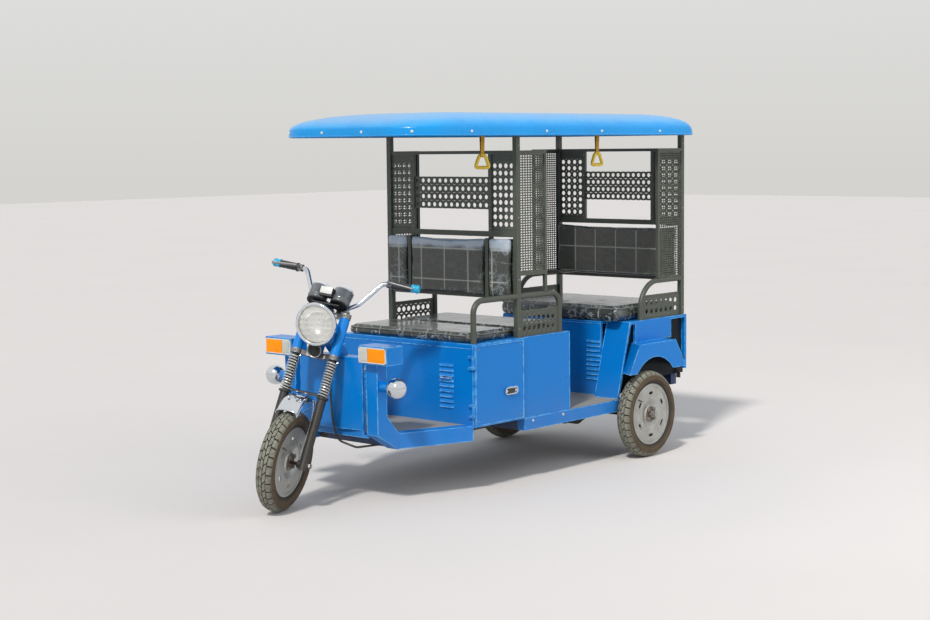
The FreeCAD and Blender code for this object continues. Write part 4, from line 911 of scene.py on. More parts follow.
def span(side: int, inner: float, outer: float) -> tuple[float, float]:
    """Give the lower and upper X of something that runs from inner to outer on one side, in metres."""
    low, high = sorted((side * inner * MM, side * outer * MM))
    return low, high


def grid_faces(rows: int, columns: int, closed: bool = False, looped: bool = False) -> list[tuple[int, ...]]:
    """Give the faces between rows of points.

    Args:
        rows: How many rows there are.
        columns: How many points each row has.
        closed: Whether the end of a row joins its start.
        looped: Whether the last row joins the first.

    Returns:
        The corner numbers of each face.
    """
    faces = []
    for row in range(rows if looped else rows - 1):
        first, second = row * columns, (row + 1) % rows * columns
        for column in range(columns if closed else columns - 1):
            after = (column + 1) % columns
            faces.append((first + column, first + after, second + after, second + column))
    return faces


def curve_rows(controls: Sequence[tuple[float, ...]], steps: int) -> list[tuple[float, ...]]:
    """Run a smooth curve through rows of values.

    Args:
        controls: Rows of values. The curve starts at the first, ends at the last and is drawn to the others.
        steps: Steps along each of them.

    Returns:
        The rows along the curve.
    """

    def halfway(first: tuple[float, ...], second: tuple[float, ...]) -> tuple[float, ...]:
        """Give the row between two others."""
        return tuple((a + b) / 2 for a, b in zip(first, second))

    rows = []
    for first, mid, last in zip(controls, controls[1:], controls[2:]):
        start = first if first == controls[0] else halfway(first, mid)
        end = last if last == controls[-1] else halfway(mid, last)
        for step in range(steps):
            share = step / steps
            weights = (1 - share) ** 2, 2 * share * (1 - share), share**2
            rows.append(tuple(sum(map(math.prod, zip(weights, values))) for values in zip(start, mid, end)))
    return rows + [controls[-1]]


def round_corners(corners: Sequence[Vector], radius: float) -> list[Vector]:
    """Round the corners of a closed outline.

    Args:
        corners: Its corner points.
        radius: About how far from a corner the bend starts.

    Returns:
        Points along the rounded outline.
    """
    steps = 6
    line = []
    for number, corner in enumerate(corners):
        into = (corners[number - 1] - corner).normalized() * radius * MM
        out = (corners[(number + 1) % len(corners)] - corner).normalized() * radius * MM
        for step in range(steps + 1):
            share = step / steps
            line.append(corner + into * (1 - share) ** 2 + out * share**2)
    return line


def round_loop(half: float, front: float, rear: float, radii: Pair, steps: int, height: float) -> list[Vector]:
    """Give a level loop with round corners, from the rear corner on the left.

    Args:
        half: Half of its width.
        front: Its front edge.
        rear: Its rear edge.
        radii: Radius of its front corners and of its rear corners, in metres.
        steps: Steps round each corner.
        height: Its height.

    Returns:
        The points.
    """
    front_r, rear_r = radii
    corners = ((half - rear_r, rear - rear_r, rear_r), (rear_r - half, rear - rear_r, rear_r),
               (front_r - half, front + front_r, front_r), (half - front_r, front + front_r, front_r))
    line = []
    for quarter, (x, y, radius) in enumerate(corners):
        for step in range(steps + 1):
            turn = math.pi / 2 * (quarter + step / steps)
            line.append(Vector((x + radius * math.cos(turn), y + radius * math.sin(turn), height)))
    return line


def finish_piece(piece: bpy.types.Object, look: Look, body: str, angle: float) -> None:
    """Give a new piece its shading, finish, slot and body.

    Args:
        piece: The object.
        look: Its finish.
        body: Body that carries it.
        angle: Edges sharper than this stay sharp, in degrees.
    """
    piece.data.shade_smooth()
    piece.data.set_sharp_from_angle(angle=math.radians(angle))
    piece.data.materials.clear()
    piece.data.materials.append(look.value.material())
    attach(piece, body)
    LOG.info("%s: %d faces on %s", piece.name, len(piece.data.polygons), body)


def show(name: str, data: bpy.types.ID) -> bpy.types.Object:
    """Put a mesh, camera or lamp in the scene.

    Args:
        name: Name of the object.
        data: What it shows.

    Returns:
        The object.
    """
    shown = bpy.data.objects.new(name, data)
    bpy.context.scene.collection.objects.link(shown)
    return shown


class Shape:
    """Gathers the faces of one piece and makes its object."""

    def __init__(self) -> None:
        """Start empty."""
        self.points: list[Vector] = []
        self.faces: list[tuple[int, ...]] = []

    def add(self, points: Iterable[Vector], faces: Iterable[Sequence[int]], place: Matrix = Matrix()) -> None:
        """Add points and faces, moved by a matrix.

        Args:
            points: Corner points.
            faces: Corner numbers of each face.
            place: Where the points go.
        """
        base = len(self.points)
        self.points.extend(place @ Vector(point) for point in points)
        self.faces.extend(tuple(base + corner for corner in face) for face in faces)

    def lathe(self, profile: Sequence[Pair], place: Matrix, segments: int = 32, ring: bool = False) -> None:
        """Turn an outline about the local Z axis.

        Args:
            profile: Pairs of height and radius. A radius of 0 closes the shape with a point.
            place: Where the axis goes.
            segments: Steps round the axis.
            ring: Whether the outline's end joins its start.
        """
        rows: list[list[int]] = []
        points: list[Vector] = []
        for height, radius in profile:
            if radius <= 0:
                rows.append([len(points)] * segments)
                points.append(Vector((0, 0, height * MM)))
                continue
            rows.append(list(range(len(points), len(points) + segments)))
            wide = radius * MM
            for step in range(segments):
                turn = 2 * math.pi * step / segments
                points.append(Vector((wide * math.cos(turn), wide * math.sin(turn), height * MM)))
        faces = []
        for first, second in list(zip(rows, rows[1:])) + ([(rows[-1], rows[0])] if ring else []):
            for step in range(segments):
                after = (step + 1) % segments
                corners = list(dict.fromkeys((first[step], first[after], second[after], second[step])))
                if len(corners) > 2:
                    faces.append(corners)
        self.add(points, faces, place)

    def tube(
        self, line: Sequence[Vector], radius: float, sides: int = 8, closed: bool = False, flat: float = 1.0
    ) -> None:
        """Sweep a round or flattened section along points.

        Args:
            line: Points of the middle line.
            radius: Radius of the section.
            sides: Corners of the section.
            closed: Whether the line's end joins its start.
            flat: Share of the radius across the section's second direction.
        """
        count = len(line)
        wide, deep = radius * MM, radius * flat * MM
        points: list[Vector] = []
        side = None
        for number, point in enumerate(line):
            before = line[number - 1] if closed or number else point
            after = line[(number + 1) % count] if closed or number < count - 1 else point
            along = (after - before).normalized()
            if side is None:
                side = along.orthogonal().normalized()
            side = (side - along * side.dot(along)).normalized()
            across = along.cross(side)
            for step in range(sides):
                turn = 2 * math.pi * step / sides
                points.append(point + side * (wide * math.cos(turn)) + across * (deep * math.sin(turn)))
        faces = grid_faces(count, sides, closed=True, looped=closed)
        if not closed:
            faces += [tuple(range(sides)), tuple(range((count - 1) * sides, count * sides))]
        self.add(points, faces)

    def box(self, low: Sequence[float], high: Sequence[float], place: Matrix = Matrix()) -> None:
        """Add a box between two corners.

        Args:
            low: Lowest corner.
            high: Highest corner.
            place: Where it goes.
        """
        points = [Vector((x, y, z)) for z in (low[2], high[2]) for y in (low[1], high[1]) for x in (low[0], high[0])]
        self.add(points, BOX_FACES, place)

    def dome(self, centre: Vector, out: Vector, radius: float, height: float, sides: int = 16) -> None:
        """Add a round-headed bolt or rivet.

        Args:
            centre: Middle of its foot.
            out: Way that it points.
            radius: Radius of its foot.
            height: Height of its head.
            sides: Steps round it.
        """
        profile = [(-1, radius), (height * 0.2, radius), (height * 0.62, radius * 0.84), (height * 0.9, radius * 0.5),
                   (height, 0)]
        self.lathe(profile, stand(centre, out), sides)

    def nut(self, centre: Vector, out: Vector, radius: float, height: float) -> None:
        """Add a hexagonal nut with a bevelled top and a stud through it.

        Args:
            centre: Middle of its foot.
            out: Way that it points.
            radius: Radius over its corners.
            height: Its height.
        """
        place = stand(centre, out)
        self.lathe([(-1, radius), (height * 0.85, radius), (height, radius * 0.86), (height, 0)], place, 6)
        self.lathe([(height * 0.9, radius * 0.45), (height * 1.35, radius * 0.45), (height * 1.45, radius * 0.36),
                    (height * 1.45, 0)], place, 12)

    def make(self, name: str, look: Look, body: str, angle: float = 38.0, bevel: float = 0.0) -> bpy.types.Object:
        """Turn the gathered faces into an object that rides on a body.

        Args:
            name: Name of the piece.
            look: Its finish.
            body: Body that carries it.
            angle: Edges sharper than this stay sharp, in degrees.
            bevel: Width of a small bevel on sharp edges, or 0.

        Returns:
            The object.
        """
        mesh = bpy.data.meshes.new(name)
        mesh.from_pydata([tuple(point) for point in self.points], [], self.faces)
        work = bmesh.new()
        work.from_mesh(mesh)
        bmesh.ops.recalc_face_normals(work, faces=work.faces)
        if bevel:
            sharp = math.radians(angle)
            edges = [edge for edge in work.edges if edge.is_manifold and edge.calc_face_angle(0.0) > sharp]
            bmesh.ops.bevel(work, geom=edges, offset=bevel * MM, segments=2, profile=0.6, affect="EDGES",
                            clamp_overlap=True)
        work.to_mesh(mesh)
        work.free()
        piece = show(name, mesh)
        finish_piece(piece, look, body, angle)
        return piece


class Fork:
    """Places in the turned steering assembly: across, ahead of and along the steering axis, in millimetres."""

    def __init__(self, rake: float = 23.5, steer: float = 23.5) -> None:
        """Work out the assembly's directions.

        Args:
            rake: How far the axis leans back, in degrees.
            steer: How far the assembly is turned to the left, in degrees.
        """
        lean = math.radians(rake)
        self.head = Vector((0.0, -1.035, 0.6))
        self.up = Vector((0.0, math.sin(lean), math.cos(lean)))
        self.turn = Matrix.Rotation(math.radians(steer), 3, self.up)
        self.across = self.turn @ Vector((1, 0, 0))
        self.ahead = self.turn @ Vector((0.0, -math.cos(lean), math.sin(lean)))
        self.level = self.turn @ Vector((0, -1, 0))

    def at(self, across: float, ahead: float, up: float) -> Vector:
        """Give a point of the turned assembly in the part's frame."""
        return self.head + (self.across * across + self.ahead * ahead + self.up * up) * MM


FORK = Fork()


@dataclass
class TreadedTyre:
    """A tyre with two rows of blocks on each side of a grooved crown.

    Attributes:
        node: CAD node that it stands for.
        body: Body that carries it.
        radius: Radius over the tread.
        width: Width over the side walls.
        axis: Direction of the axle.
        pitches: How often the pattern repeats.
        crown: Radius of the crown across the tread.
        groove: Depth of the grooves.
        rim: Radius of the rim's flange.
    """

    node: str
    body: str
    radius: float
    width: float
    axis: Vector
    pitches: int = 34
    crown: float = 52.0
    groove: float = 6.5
    rim: float = 161.0

    def drop(self, across: float) -> float:
        """Give how far the crown falls away at a place across it."""
        return self.crown - math.sqrt(max(self.crown**2 - across**2, 0.0))

    def build(self) -> None:
        """Make the tyre."""
        shape = Shape()
        place = stand(middle(self.node), self.axis)
        half = self.width / 2
        edge = half - 5
        side = self.radius - self.drop(edge)
        shares = (0.0, 0.25, 0.5, 0.75, 0.93)
        right = [(edge * share, self.radius - self.groove - self.drop(edge * share)) for share in shares]
        right += [(half - 1, side - 8), (half + 1, side - 18), (half + 1.2, side - 24), (half + 2.6, side - 25),
                  (half + 2.6, side - 27.5), (half + 0.8, side - 28.5), (half - 3, side - 36),
                  (half - 8, self.rim + 5), (half - 9.5, self.rim + 1), (half - 15.5, self.rim + 0.5),
                  (half - 16, self.rim - 10.5)]
        left = [(-across, radius) for across, radius in reversed(right[1:])]
        shape.lathe(left + right, place, self.pitches * 2, ring=True)
        step = 2 * math.pi / self.pitches
        for number in range(self.pitches):
            for sign in (1, -1):
                turn = (number + (0.5 if sign < 0 else 0.0)) * step
                self.lug(shape, place, sign * edge * 0.5, sign * (half - 1.2), turn, step * 0.8, step * 0.1)
                self.lug(shape, place, sign * edge * 0.05, sign * edge * 0.42, turn, step * 0.82, -step * 0.3)
        piece = shape.make(self.node + "_tread", Look.TYRE, self.body, 30)
        self.mark(piece.data, len(left) + len(right))
        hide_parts(self.node)

    def mark(self, mesh: bpy.types.Mesh, rows: int) -> None:
        """Note which points are on the tread's blocks and which on the muddy side walls.

        Args:
            mesh: The tyre's mesh, with the carcass's rows first and the blocks after them.
            rows: How many rows the carcass has.
        """
        carcass = rows * self.pitches * 2
        tread = mesh.attributes.new("tread", "FLOAT", "POINT")
        band = mesh.attributes.new("band", "FLOAT", "POINT")
        place = stand(middle(self.node), self.axis).inverted()
        for number, corner in enumerate(mesh.vertices):
            local = place @ corner.co / MM
            outside = abs(local.z) > self.width / 2 - 6
            if outside:
                height = math.hypot(local.x, local.y) - self.rim
                band.data[number].value = min(max((height - 4) / 22, 0.25), 1.0)
            if number >= carcass and (number - carcass) % 18 < 9:
                tread.data[number].value = 0.35 if outside else 1.0

    def lug(
        self, shape: Shape, place: Matrix, inner: float, outer: float, turn: float, wide: float, shear: float
    ) -> None:
        """Add one block of tread, of three by three points over as many sunk ones.

        Args:
            shape: Shape that gets it.
            place: The wheel's place.
            inner: Across the tread at its inner end.
            outer: Across the tread at its outer end.
            turn: Angle at the middle of its inner end.
            wide: Angle that it spans.
            shear: Angle by which its outer end is ahead.
        """
        points: list[Vector] = []
        for sink, spread in ((0.4, 1.0), (8.5, 1.1)):
            for share in (0.0, 0.5, 1.0):
                across = inner + (outer - inner) * share
                flat = min(abs(across), self.width / 2 - 5)
                radius = (self.radius - self.drop(flat) - (abs(across) - flat) * 2.2 - sink) * MM
                for row in (-1, 0, 1):
                    angle = turn + shear * share + row * wide * spread / 2
                    points.append(Vector((radius * math.cos(angle), radius * math.sin(angle), across * MM)))
        faces = grid_faces(3, 3)
        rim = [0, 1, 2, 5, 8, 7, 6, 3]
        for first, second in zip(rim, rim[1:] + rim[:1]):
            faces.append((first, second, second + 9, first + 9))
        shape.add(points, faces, place)


@dataclass
class WheelTrim:
    """Nuts, brown centre, hub nut and valve on the outside of a wheel.

    Attributes:
        name: Start of the pieces' names.
        tyre: CAD node of the tyre, whose middle is the wheel's.
        body: Body that carries it.
        out: Way that the wheel's outside faces.
        half: Half of the rim's width between its flanges.
        bore: Radius of the hub's hole.
        centre_nut: Radius, foot and height of the middle nut from the wheel's middle, or None.
        nuts: How many nuts there are round the middle.
        valve_turn: Where the valve is round the wheel, in radians from the top.
    """

    name: str
    tyre: str
    body: str
    out: Vector
    half: float
    bore: float
    centre_nut: tuple[float, float, float] | None = None
    nuts: int = 4
    valve_turn: float = 0.9

    def build(self) -> None:
        """Make the pieces."""
        place = stand(middle(self.tyre), self.out)
        face = self.half + 2
        disc = self.half + 4
        centre = Shape()
        centre.lathe([(face - 1, 40), (face + 1.2, 39), (face + 1.2, self.bore + 1), (face - 1, self.bore + 1)],
                     place, 40, ring=True)
        centre.lathe([(disc - 19, 52), (disc - 16.4, 53), (disc - 4, 73), (disc - 6, 74)], place, 48)
        centre.make(self.name + "_centre", Look.HUB, self.body)
        nuts = Shape()
        for number in range(self.nuts):
            turn = 2 * math.pi * (number + 0.5) / self.nuts
            nuts.nut(self.at(turn, 34, face + 0.8), self.out, 11, 9)
        if self.centre_nut:
            radius, foot, height = self.centre_nut
            nuts.nut(self.at(0.0, 0, foot), self.out, radius, height)
        nuts.make(self.name + "_nuts", Look.STEEL, self.body)
        valve = Shape()
        stem = ((141, 3), (133, 11), (121, 17))
        valve.tube([self.at(self.valve_turn, reach, self.half + ahead) for reach, ahead in stem], 3.4)
        valve.make(self.name + "_valve", Look.RUBBER, self.body)

    def at(self, turn: float, reach: float, ahead: float) -> Vector:
        """Give a point of the wheel.

        Args:
            turn: Angle round the axle from straight up, in radians.
            reach: Distance from the axle.
            ahead: Distance from the wheel's middle towards its outside.

        Returns:
            The point in the part's frame.
        """
        axle = self.out.normalized()
        up = (UP - axle * axle.z).normalized()
        way = up * math.cos(turn) + axle.cross(up) * math.sin(turn)
        return middle(self.tyre) + way * reach * MM + axle * ahead * MM


@dataclass
class SteeringDress:
    """What the fork and handlebar carry beyond their CAD solids.

    Attributes:
        body: Body that carries it all.
        leg: How far each fork leg is from the middle.
        lead: How far the legs are ahead of the steering axis.
        turns: Turns of a spring.
        spring: Lower and upper end of a spring along the axis.
        coil: Radius of a spring to the middle of its wire.
        wire: Radius of its wire.
        glass: Radius of the headlight's glass.
        flute: Depth and spacing of the glass's flutes.
        grips: Inner and outer end of the left grip.
    """

    body: str = "steering"
    leg: float = 95.0
    lead: float = 30.0
    turns: int = 13
    spring: Pair = (-86.5, 81.5)
    coil: float = 22.6
    wire: float = 4.3
    glass: float = 85.0
    flute: Pair = (0.7, 13.0)
    grips: tuple[tuple[float, float, float], ...] = ((244, -54.9, 507.7), (362, -62, 512))

    def build(self) -> None:
        """Make all of its pieces."""
        self.springs()
        self.headlight()
        self.horn()
        self.gauges()
        self.grip_pieces()
        self.nuts()
        self.mudguard()

    def springs(self) -> None:
        """Wind the coil springs round the legs."""
        coils = Shape()
        low, top = self.spring
        steps = 20 * self.turns
        for side in (self.leg, -self.leg):
            line = []
            for number in range(steps + 1):
                share = number / steps
                turn = 2 * math.pi * self.turns * share
                across, ahead = self.coil * math.cos(turn), self.coil * math.sin(turn)
                line.append(FORK.at(side + across, self.lead + ahead, low + (top - low) * share))
            coils.tube(line, self.wire)
        piece = coils.make("fork_coil_springs", Look.SPRING, self.body)
        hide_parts("fork_springs")

    def headlight(self) -> None:
        """Make the fluted glass, its reflector and bulb, and the plated rim."""
        place = stand(FORK.at(0, 108, 224), FORK.level)
        glass = Shape()
        rings, steps = 9, 64
        depth, pitch = self.flute
        points: list[Vector] = []
        for ring in range(rings + 1):
            share = ring / rings
            for step in range(steps):
                turn = 2 * math.pi * step / steps
                x, y = self.glass * share * math.cos(turn), self.glass * share * math.sin(turn)
                flute = depth * math.cos(2 * math.pi * y / pitch)
                points.append(Vector((x, y, 14 + 11 * (1 - share**2) + flute)) * MM)
        glass.add(points, grid_faces(rings + 1, steps, closed=True), place)
        lens = glass.make("headlight_fluted_glass", Look.GLASS, self.body, 80)
        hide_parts("headlight_glass")
        bowl = Shape()
        bowl.lathe([(4.6, 84.5), (-20, 77), (-36, 69), (-52, 48), (-62, 28), (-63.5, 8), (-63.5, 0)], place, 48)
        bowl.lathe([(-63, 9), (-40, 9), (-28, 7), (-24, 0)], place, 20)
        bowl.make("headlight_reflector", Look.MIRROR, self.body, 60)
        rim = Shape()
        rim.lathe([(-3, 98.4), (2, 101), (13, 101), (19, 97.5), (20.5, 92.5), (18.5, 87.5), (14, 85.5), (12.5, 87.5),
                   (16.5, 91), (14, 98.3)], place, 64, ring=True)
        rim.make("headlight_rim", Look.CHROME, self.body, 50)

    def horn(self) -> None:
        """Put a pale ring and a round grille on the horn."""
        place = stand(FORK.at(0, 47, 115), FORK.level)
        ring = Shape()
        ring.lathe([(5.8, 36.4), (8.4, 36), (9.2, 33), (7.5, 30.4), (5.8, 30.4)], place, 40, ring=True)
        ring.make("horn_ring", Look.STEEL, self.body)
        grille = Shape()
        for radius in (26, 20.5, 15, 9.5):
            profile = [(2, radius + 1.5), (5.4, radius + 1.2), (5.4, radius - 1.2), (2, radius - 1.5)]
            grille.lathe(profile, place, ring=True)
        grille.lathe([(1.8, 7), (7, 6), (9, 0)], place, 24)
        spokes = 6
        for number in range(spokes):
            across = Matrix.Rotation(2 * math.pi * number / spokes, 4, "Z")
            grille.box((0.006, -0.0012, 0.002), (0.0296, 0.0012, 0.0048), place @ across)
        grille.make("horn_grille", Look.PLASTIC, self.body)

    def gauges(self) -> None:
        """Cap the round gauges and fill the block between them."""
        tilt = FORK.up * 0.94 - FORK.ahead * 0.34
        tops, shells, dials = Shape(), Shape(), Shape()
        for across in (58, -58):
            place = stand(FORK.at(across, 62, 336) + tilt * 78 * MM, tilt)
            tops.lathe([(-5, 43.2), (-4, 46), (3, 46), (4.6, 43), (4.6, 40), (1.2, 39), (0.2, 39.4), (0.2, 43)],
                       place, 48, ring=True)
            shells.lathe([(-77, 36), (-76, 40), (-70, 43.4), (-58, 44.6), (-56, 46.5), (-51, 46.5), (-49, 45),
                          (-8, 46.5), (-4, 44)], place, 48)
            dials.lathe([(3, 42), (9, 41), (15, 36), (19.5, 26), (22, 12), (22.5, 0)], place, 48)
        tops.make("gauge_rims", Look.CHROME, self.body)
        shells.make("gauge_shells", Look.GAUGE, self.body, 60)
        dials.make("gauge_domes", Look.DIAL, self.body, 60)
        block = Shape()
        block.add([FORK.at(x, ahead, up) for up in (372, 406) for ahead in (58, 112) for x in (-30, 30)], BOX_FACES)
        block.make("gauge_block", Look.WHITE, self.body, bevel=4)

    def grip_pieces(self) -> None:
        """Rib the grips and cap their ends."""
        ribs, caps = Shape(), Shape()
        count = 8
        for side in (1, -1):
            start, end = (FORK.at(side * across, ahead, up) for across, ahead, up in self.grips)
            place = stand(start, end - start)
            finish = (end - start).length / MM + 10
            sleeve = finish - 36
            ribs.lathe([(-1.6, 12), (-1.6, 21), (2, 21.5), (4.5, 19), (5.5, 16.2)], place, 28)
            for number in range(count):
                base = 8 + number * (sleeve - 10) / count
                ribs.lathe([(base, 15.9), (base + 1.5, 18), (base + 6, 18), (base + 7.5, 15.9)], place, 28)
            caps.lathe([(sleeve, 15.8), (sleeve + 2, 19.5), (sleeve + 6, 20.5), (sleeve + 9, 18.5),
                        (finish - 12, 18.5), (finish - 8, 20.5), (finish - 1, 20), (finish + 3, 16),
                        (finish + 4, 8), (finish + 4, 0)], place, 28)
        ribs.make("grip_ribs", Look.GRIP, self.body)
        caps.make("grip_caps", Look.CAP, self.body)

    def nuts(self) -> None:
        """Add the leg caps, the stem nut, the axle nuts and the lamp bolts."""
        nuts = Shape()
        for side in (self.leg, -self.leg):
            nuts.nut(FORK.at(side, self.lead, 318), FORK.up, 14, 8)
            for up in (98, 300):
                nuts.dome(FORK.at(side, self.lead + 26, up), FORK.ahead, 7, 5)
        nuts.lathe([(0, 20), (4, 20), (4, 16), (13, 15), (14, 8), (14, 0)], stand(FORK.at(0, 0, 320), FORK.up), 24)
        axle = middle("front_tyre")
        for side in (1, -1):
            nuts.nut(axle + FORK.across * side * 119 * MM, FORK.across * side, 14, 9)
        nuts.make("fork_nuts", Look.STEEL, self.body)

    def by_wheel(self, across: float, back: float, up: float) -> Vector:
        """Give a point beside the front wheel's middle that turns with the fork, in millimetres from it."""
        return middle("front_tyre") + FORK.turn @ Vector((across, back, up)) * MM

    def mudguard(self) -> None:
        """Bend the short plated guard over the tyre, with its bridge and its rods."""
        rows = curve_rows([(-52, 249), (-34, 264), (-8, 284), (26, 299), (70, 304), (116, 293), (158, 268)], 6)
        right = [(18, -0.8), (36, -3.2), (47, -8), (51, -16), (51, -26)]
        section = [(-across, drop) for across, drop in reversed(right)] + [(0, 0)] + right
        count = len(section)
        guard = Shape()
        faces = grid_faces(len(rows), count)
        skins = []
        for thick in (0.0, 2.2):
            skin = []
            for back, up in rows:
                length = math.hypot(back, up)
                for across, drop in section:
                    reach = (length + drop - thick) / length
                    skin.append(self.by_wheel(across * (1 - thick / 60), back * reach, up * reach))
            guard.add(skin, [face[::-1] for face in faces] if thick else faces)
            skins.append(skin)
        outer = skins[0]
        guard.tube(outer[::count], 2.8)
        # this edge's bead starts with a straight run under the guard, from its rear end to its front end
        guard.tube([outer[row * count - 1] for row in range(len(outer) // count)], 2.8)
        for row in (0, len(rows) - 1):
            guard.tube(outer[row * count:(row + 1) * count], 2.8)
        for back, up in ((6, 296), (92, 306)):
            for across in (-22, 22):
                guard.dome(self.by_wheel(across, back, up), FORK.turn @ Vector((0, 0.1, 1)), 7, 4)
        bridge = Shape()
        bridge.tube([FORK.at(x, self.lead, -84) for x in (-79, -27, 27, 79)], 7, 12, flat=0.5)
        bridge.make("mudguard_bridge", Look.LEG, self.body)
        rod = ((1.0, 120, 276), (1.08, 122, 235), (1.1, 96, 150), (1.06, 30, 34))
        for side in (52, -52):
            guard.tube([self.by_wheel(side * wide, back, up) for wide, back, up in rod], 3)
        piece = guard.make("mudguard_plated", Look.CHROME, self.body, 50)
        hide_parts("front_mudguard")


@dataclass
class Cushion:
    """A foam cushion in sewn vinyl, swollen by a cloth simulation inside its CAD solid's space.

    Attributes:
        name: Name of the piece.
        low: Lowest corner of its space.
        high: Highest corner of its space.
        look: Its finish.
        seams: Spacing of the sewn channels and the place of one of them, along X and along the other side.
        face: Axis that its sat-on face looks along.
        seed: Seed of its small unevenness.
        voxel: Spacing of its points, in millimetres.
        swell: Furthest that a point may swell, in millimetres.
        frames: How long the cloth is simulated.
    """

    name: str
    low: Vector
    high: Vector
    look: Look
    seams: tuple[Pair, Pair] = ((0.156, -0.037), (0.16, -0.24))
    face: int = 2
    seed: int = 1
    voxel: float = 8.5
    swell: float = 13.0
    frames: int = 20

    def build(self) -> bpy.types.Object:
        """Make, swell, sew and dress the cushion, and return it.

        Returns:
            The cushion.
        """
        piece = self.blank()
        self.inflate(piece)
        self.sew(piece)
        finish_piece(piece, self.look, "frame", 80)
        return piece

    def blank(self) -> bpy.types.Object:
        """Make and return the rounded block that is swollen, a little smaller than its space.

        Returns:
            The block, with the cushion's name.
        """
        size = self.high - self.low
        inset = Vector([3 * MM if side > 0.1 else side * 0.12 for side in size])
        work = bmesh.new()
        bmesh.ops.create_cube(work, size=1.0)
        for corner in work.verts:
            for axis in range(3):
                corner.co[axis] *= size[axis] - 2 * inset[axis]
        bmesh.ops.bevel(work, geom=list(work.edges), offset=min(size) * 0.24, segments=4, profile=0.5, affect="EDGES")
        bmesh.ops.translate(work, verts=work.verts, vec=(self.low + self.high) / 2)
        mesh = bpy.data.meshes.new(self.name)
        work.to_mesh(mesh)
        work.free()
        piece = show(self.name, mesh)
        remesh = piece.modifiers.new("Remesh", "REMESH")
        remesh.mode = "VOXEL"
        remesh.voxel_size = self.voxel * MM
        self.apply(piece)
        return piece

    @staticmethod
    def apply(piece: bpy.types.Object) -> None:
        """Turn the modifiers' result into the piece's own mesh.

        Args:
            piece: The cushion.
        """
        graph = bpy.context.evaluated_depsgraph_get()
        mesh = bpy.data.meshes.new_from_object(piece.evaluated_get(graph))
        piece.modifiers.clear()
        piece.data = mesh

    def inflate(self, piece: bpy.types.Object) -> None:
        """Swell the mesh under pressure and keep what each point moved under a limit.

        Args:
            piece: The cushion.
        """
        rest = [corner.co.copy() for corner in piece.data.vertices]
        cloth = piece.modifiers.new("Cloth", "CLOTH")
        settings = cloth.settings
        settings.quality = 4
        settings.mass = 0.4
        settings.use_pressure = True
        settings.uniform_pressure_force = 4.0
        settings.tension_stiffness = 30
        settings.compression_stiffness = 30
        settings.shear_stiffness = 12
        settings.bending_stiffness = 0.6
        settings.effector_weights.gravity = 0.0
        cloth.point_cache.frame_start = 1
        cloth.point_cache.frame_end = self.frames
        scene = bpy.context.scene
        for number in range(1, self.frames + 1):
            scene.frame_set(number)
        graph = bpy.context.evaluated_depsgraph_get()
        swollen = piece.evaluated_get(graph).to_mesh()
        moved = [corner.co.copy() for corner in swollen.vertices]
        piece.evaluated_get(graph).to_mesh_clear()
        piece.modifiers.clear()
        scene.frame_set(1)
        limit = self.swell * MM
        for corner, start, end in zip(piece.data.vertices, rest, moved):
            step = end - start
            for axis in range(3):
                if axis != self.face:
                    step[axis] *= 0.2
            if step.length > limit:
                step *= limit / step.length
            corner.co = start + step
        LOG.info("%s swelled", piece.name)

    def sew(self, piece: bpy.types.Object) -> None:
        """Press the sewn channels in, add slack creases and keep the piece in its space.

        Args:
            piece: The cushion.
        """
        piece.modifiers.new("Subdivision", "SUBSURF").levels = 1
        self.apply(piece)
        mesh = piece.data
        seam = mesh.attributes.new("seam", "FLOAT", "POINT")
        rim = mesh.attributes.new("rim", "FLOAT", "POINT")
        flat = self.face == 2
        sides = ((0, self.seams[0]), (1 if flat else 2, self.seams[1]))
        centre = (self.low + self.high) / 2
        normals = [corner.normal.copy() for corner in mesh.vertices]
        for corner, normal in zip(mesh.vertices, normals):
            line = 0.0
            edge = 1.0
            for axis, (pitch, start) in sides:
                inside = (self.high - self.low)[axis] / 2 - abs(corner.co[axis] - centre[axis])
                inside = max(inside, 0.0)
                edge = min(edge, inside / 0.05)
                away = (corner.co[axis] - start) / pitch
                near = abs(away - round(away)) * pitch
                line = max(line, math.exp(-((near / (4.6 * MM)) ** 2)) * min(inside / 0.012, 1.0))
            facing = max(normal.z, -normal.y, 0.0) if flat else max(-normal[self.face], 0.0)
            line *= facing
            slack = noise.fractal(corner.co * 9.0 + Vector((self.seed, 0, 0)), 1.0, 2.0, 3)
            slack *= 2.4 * MM * (0.35 + 0.65 * facing)
            corner.co += normal * (slack - 3.0 * MM * line)
            seam.data[corner.index].value = min(1.0, max(0.0, line * 1.7 - 0.7))
            rim.data[corner.index].value = 1.0 - edge
        for corner in mesh.vertices:
            for axis in range(3):
                corner.co[axis] = min(max(corner.co[axis], self.low[axis] + 0.2 * MM), self.high[axis] + 4 * MM)


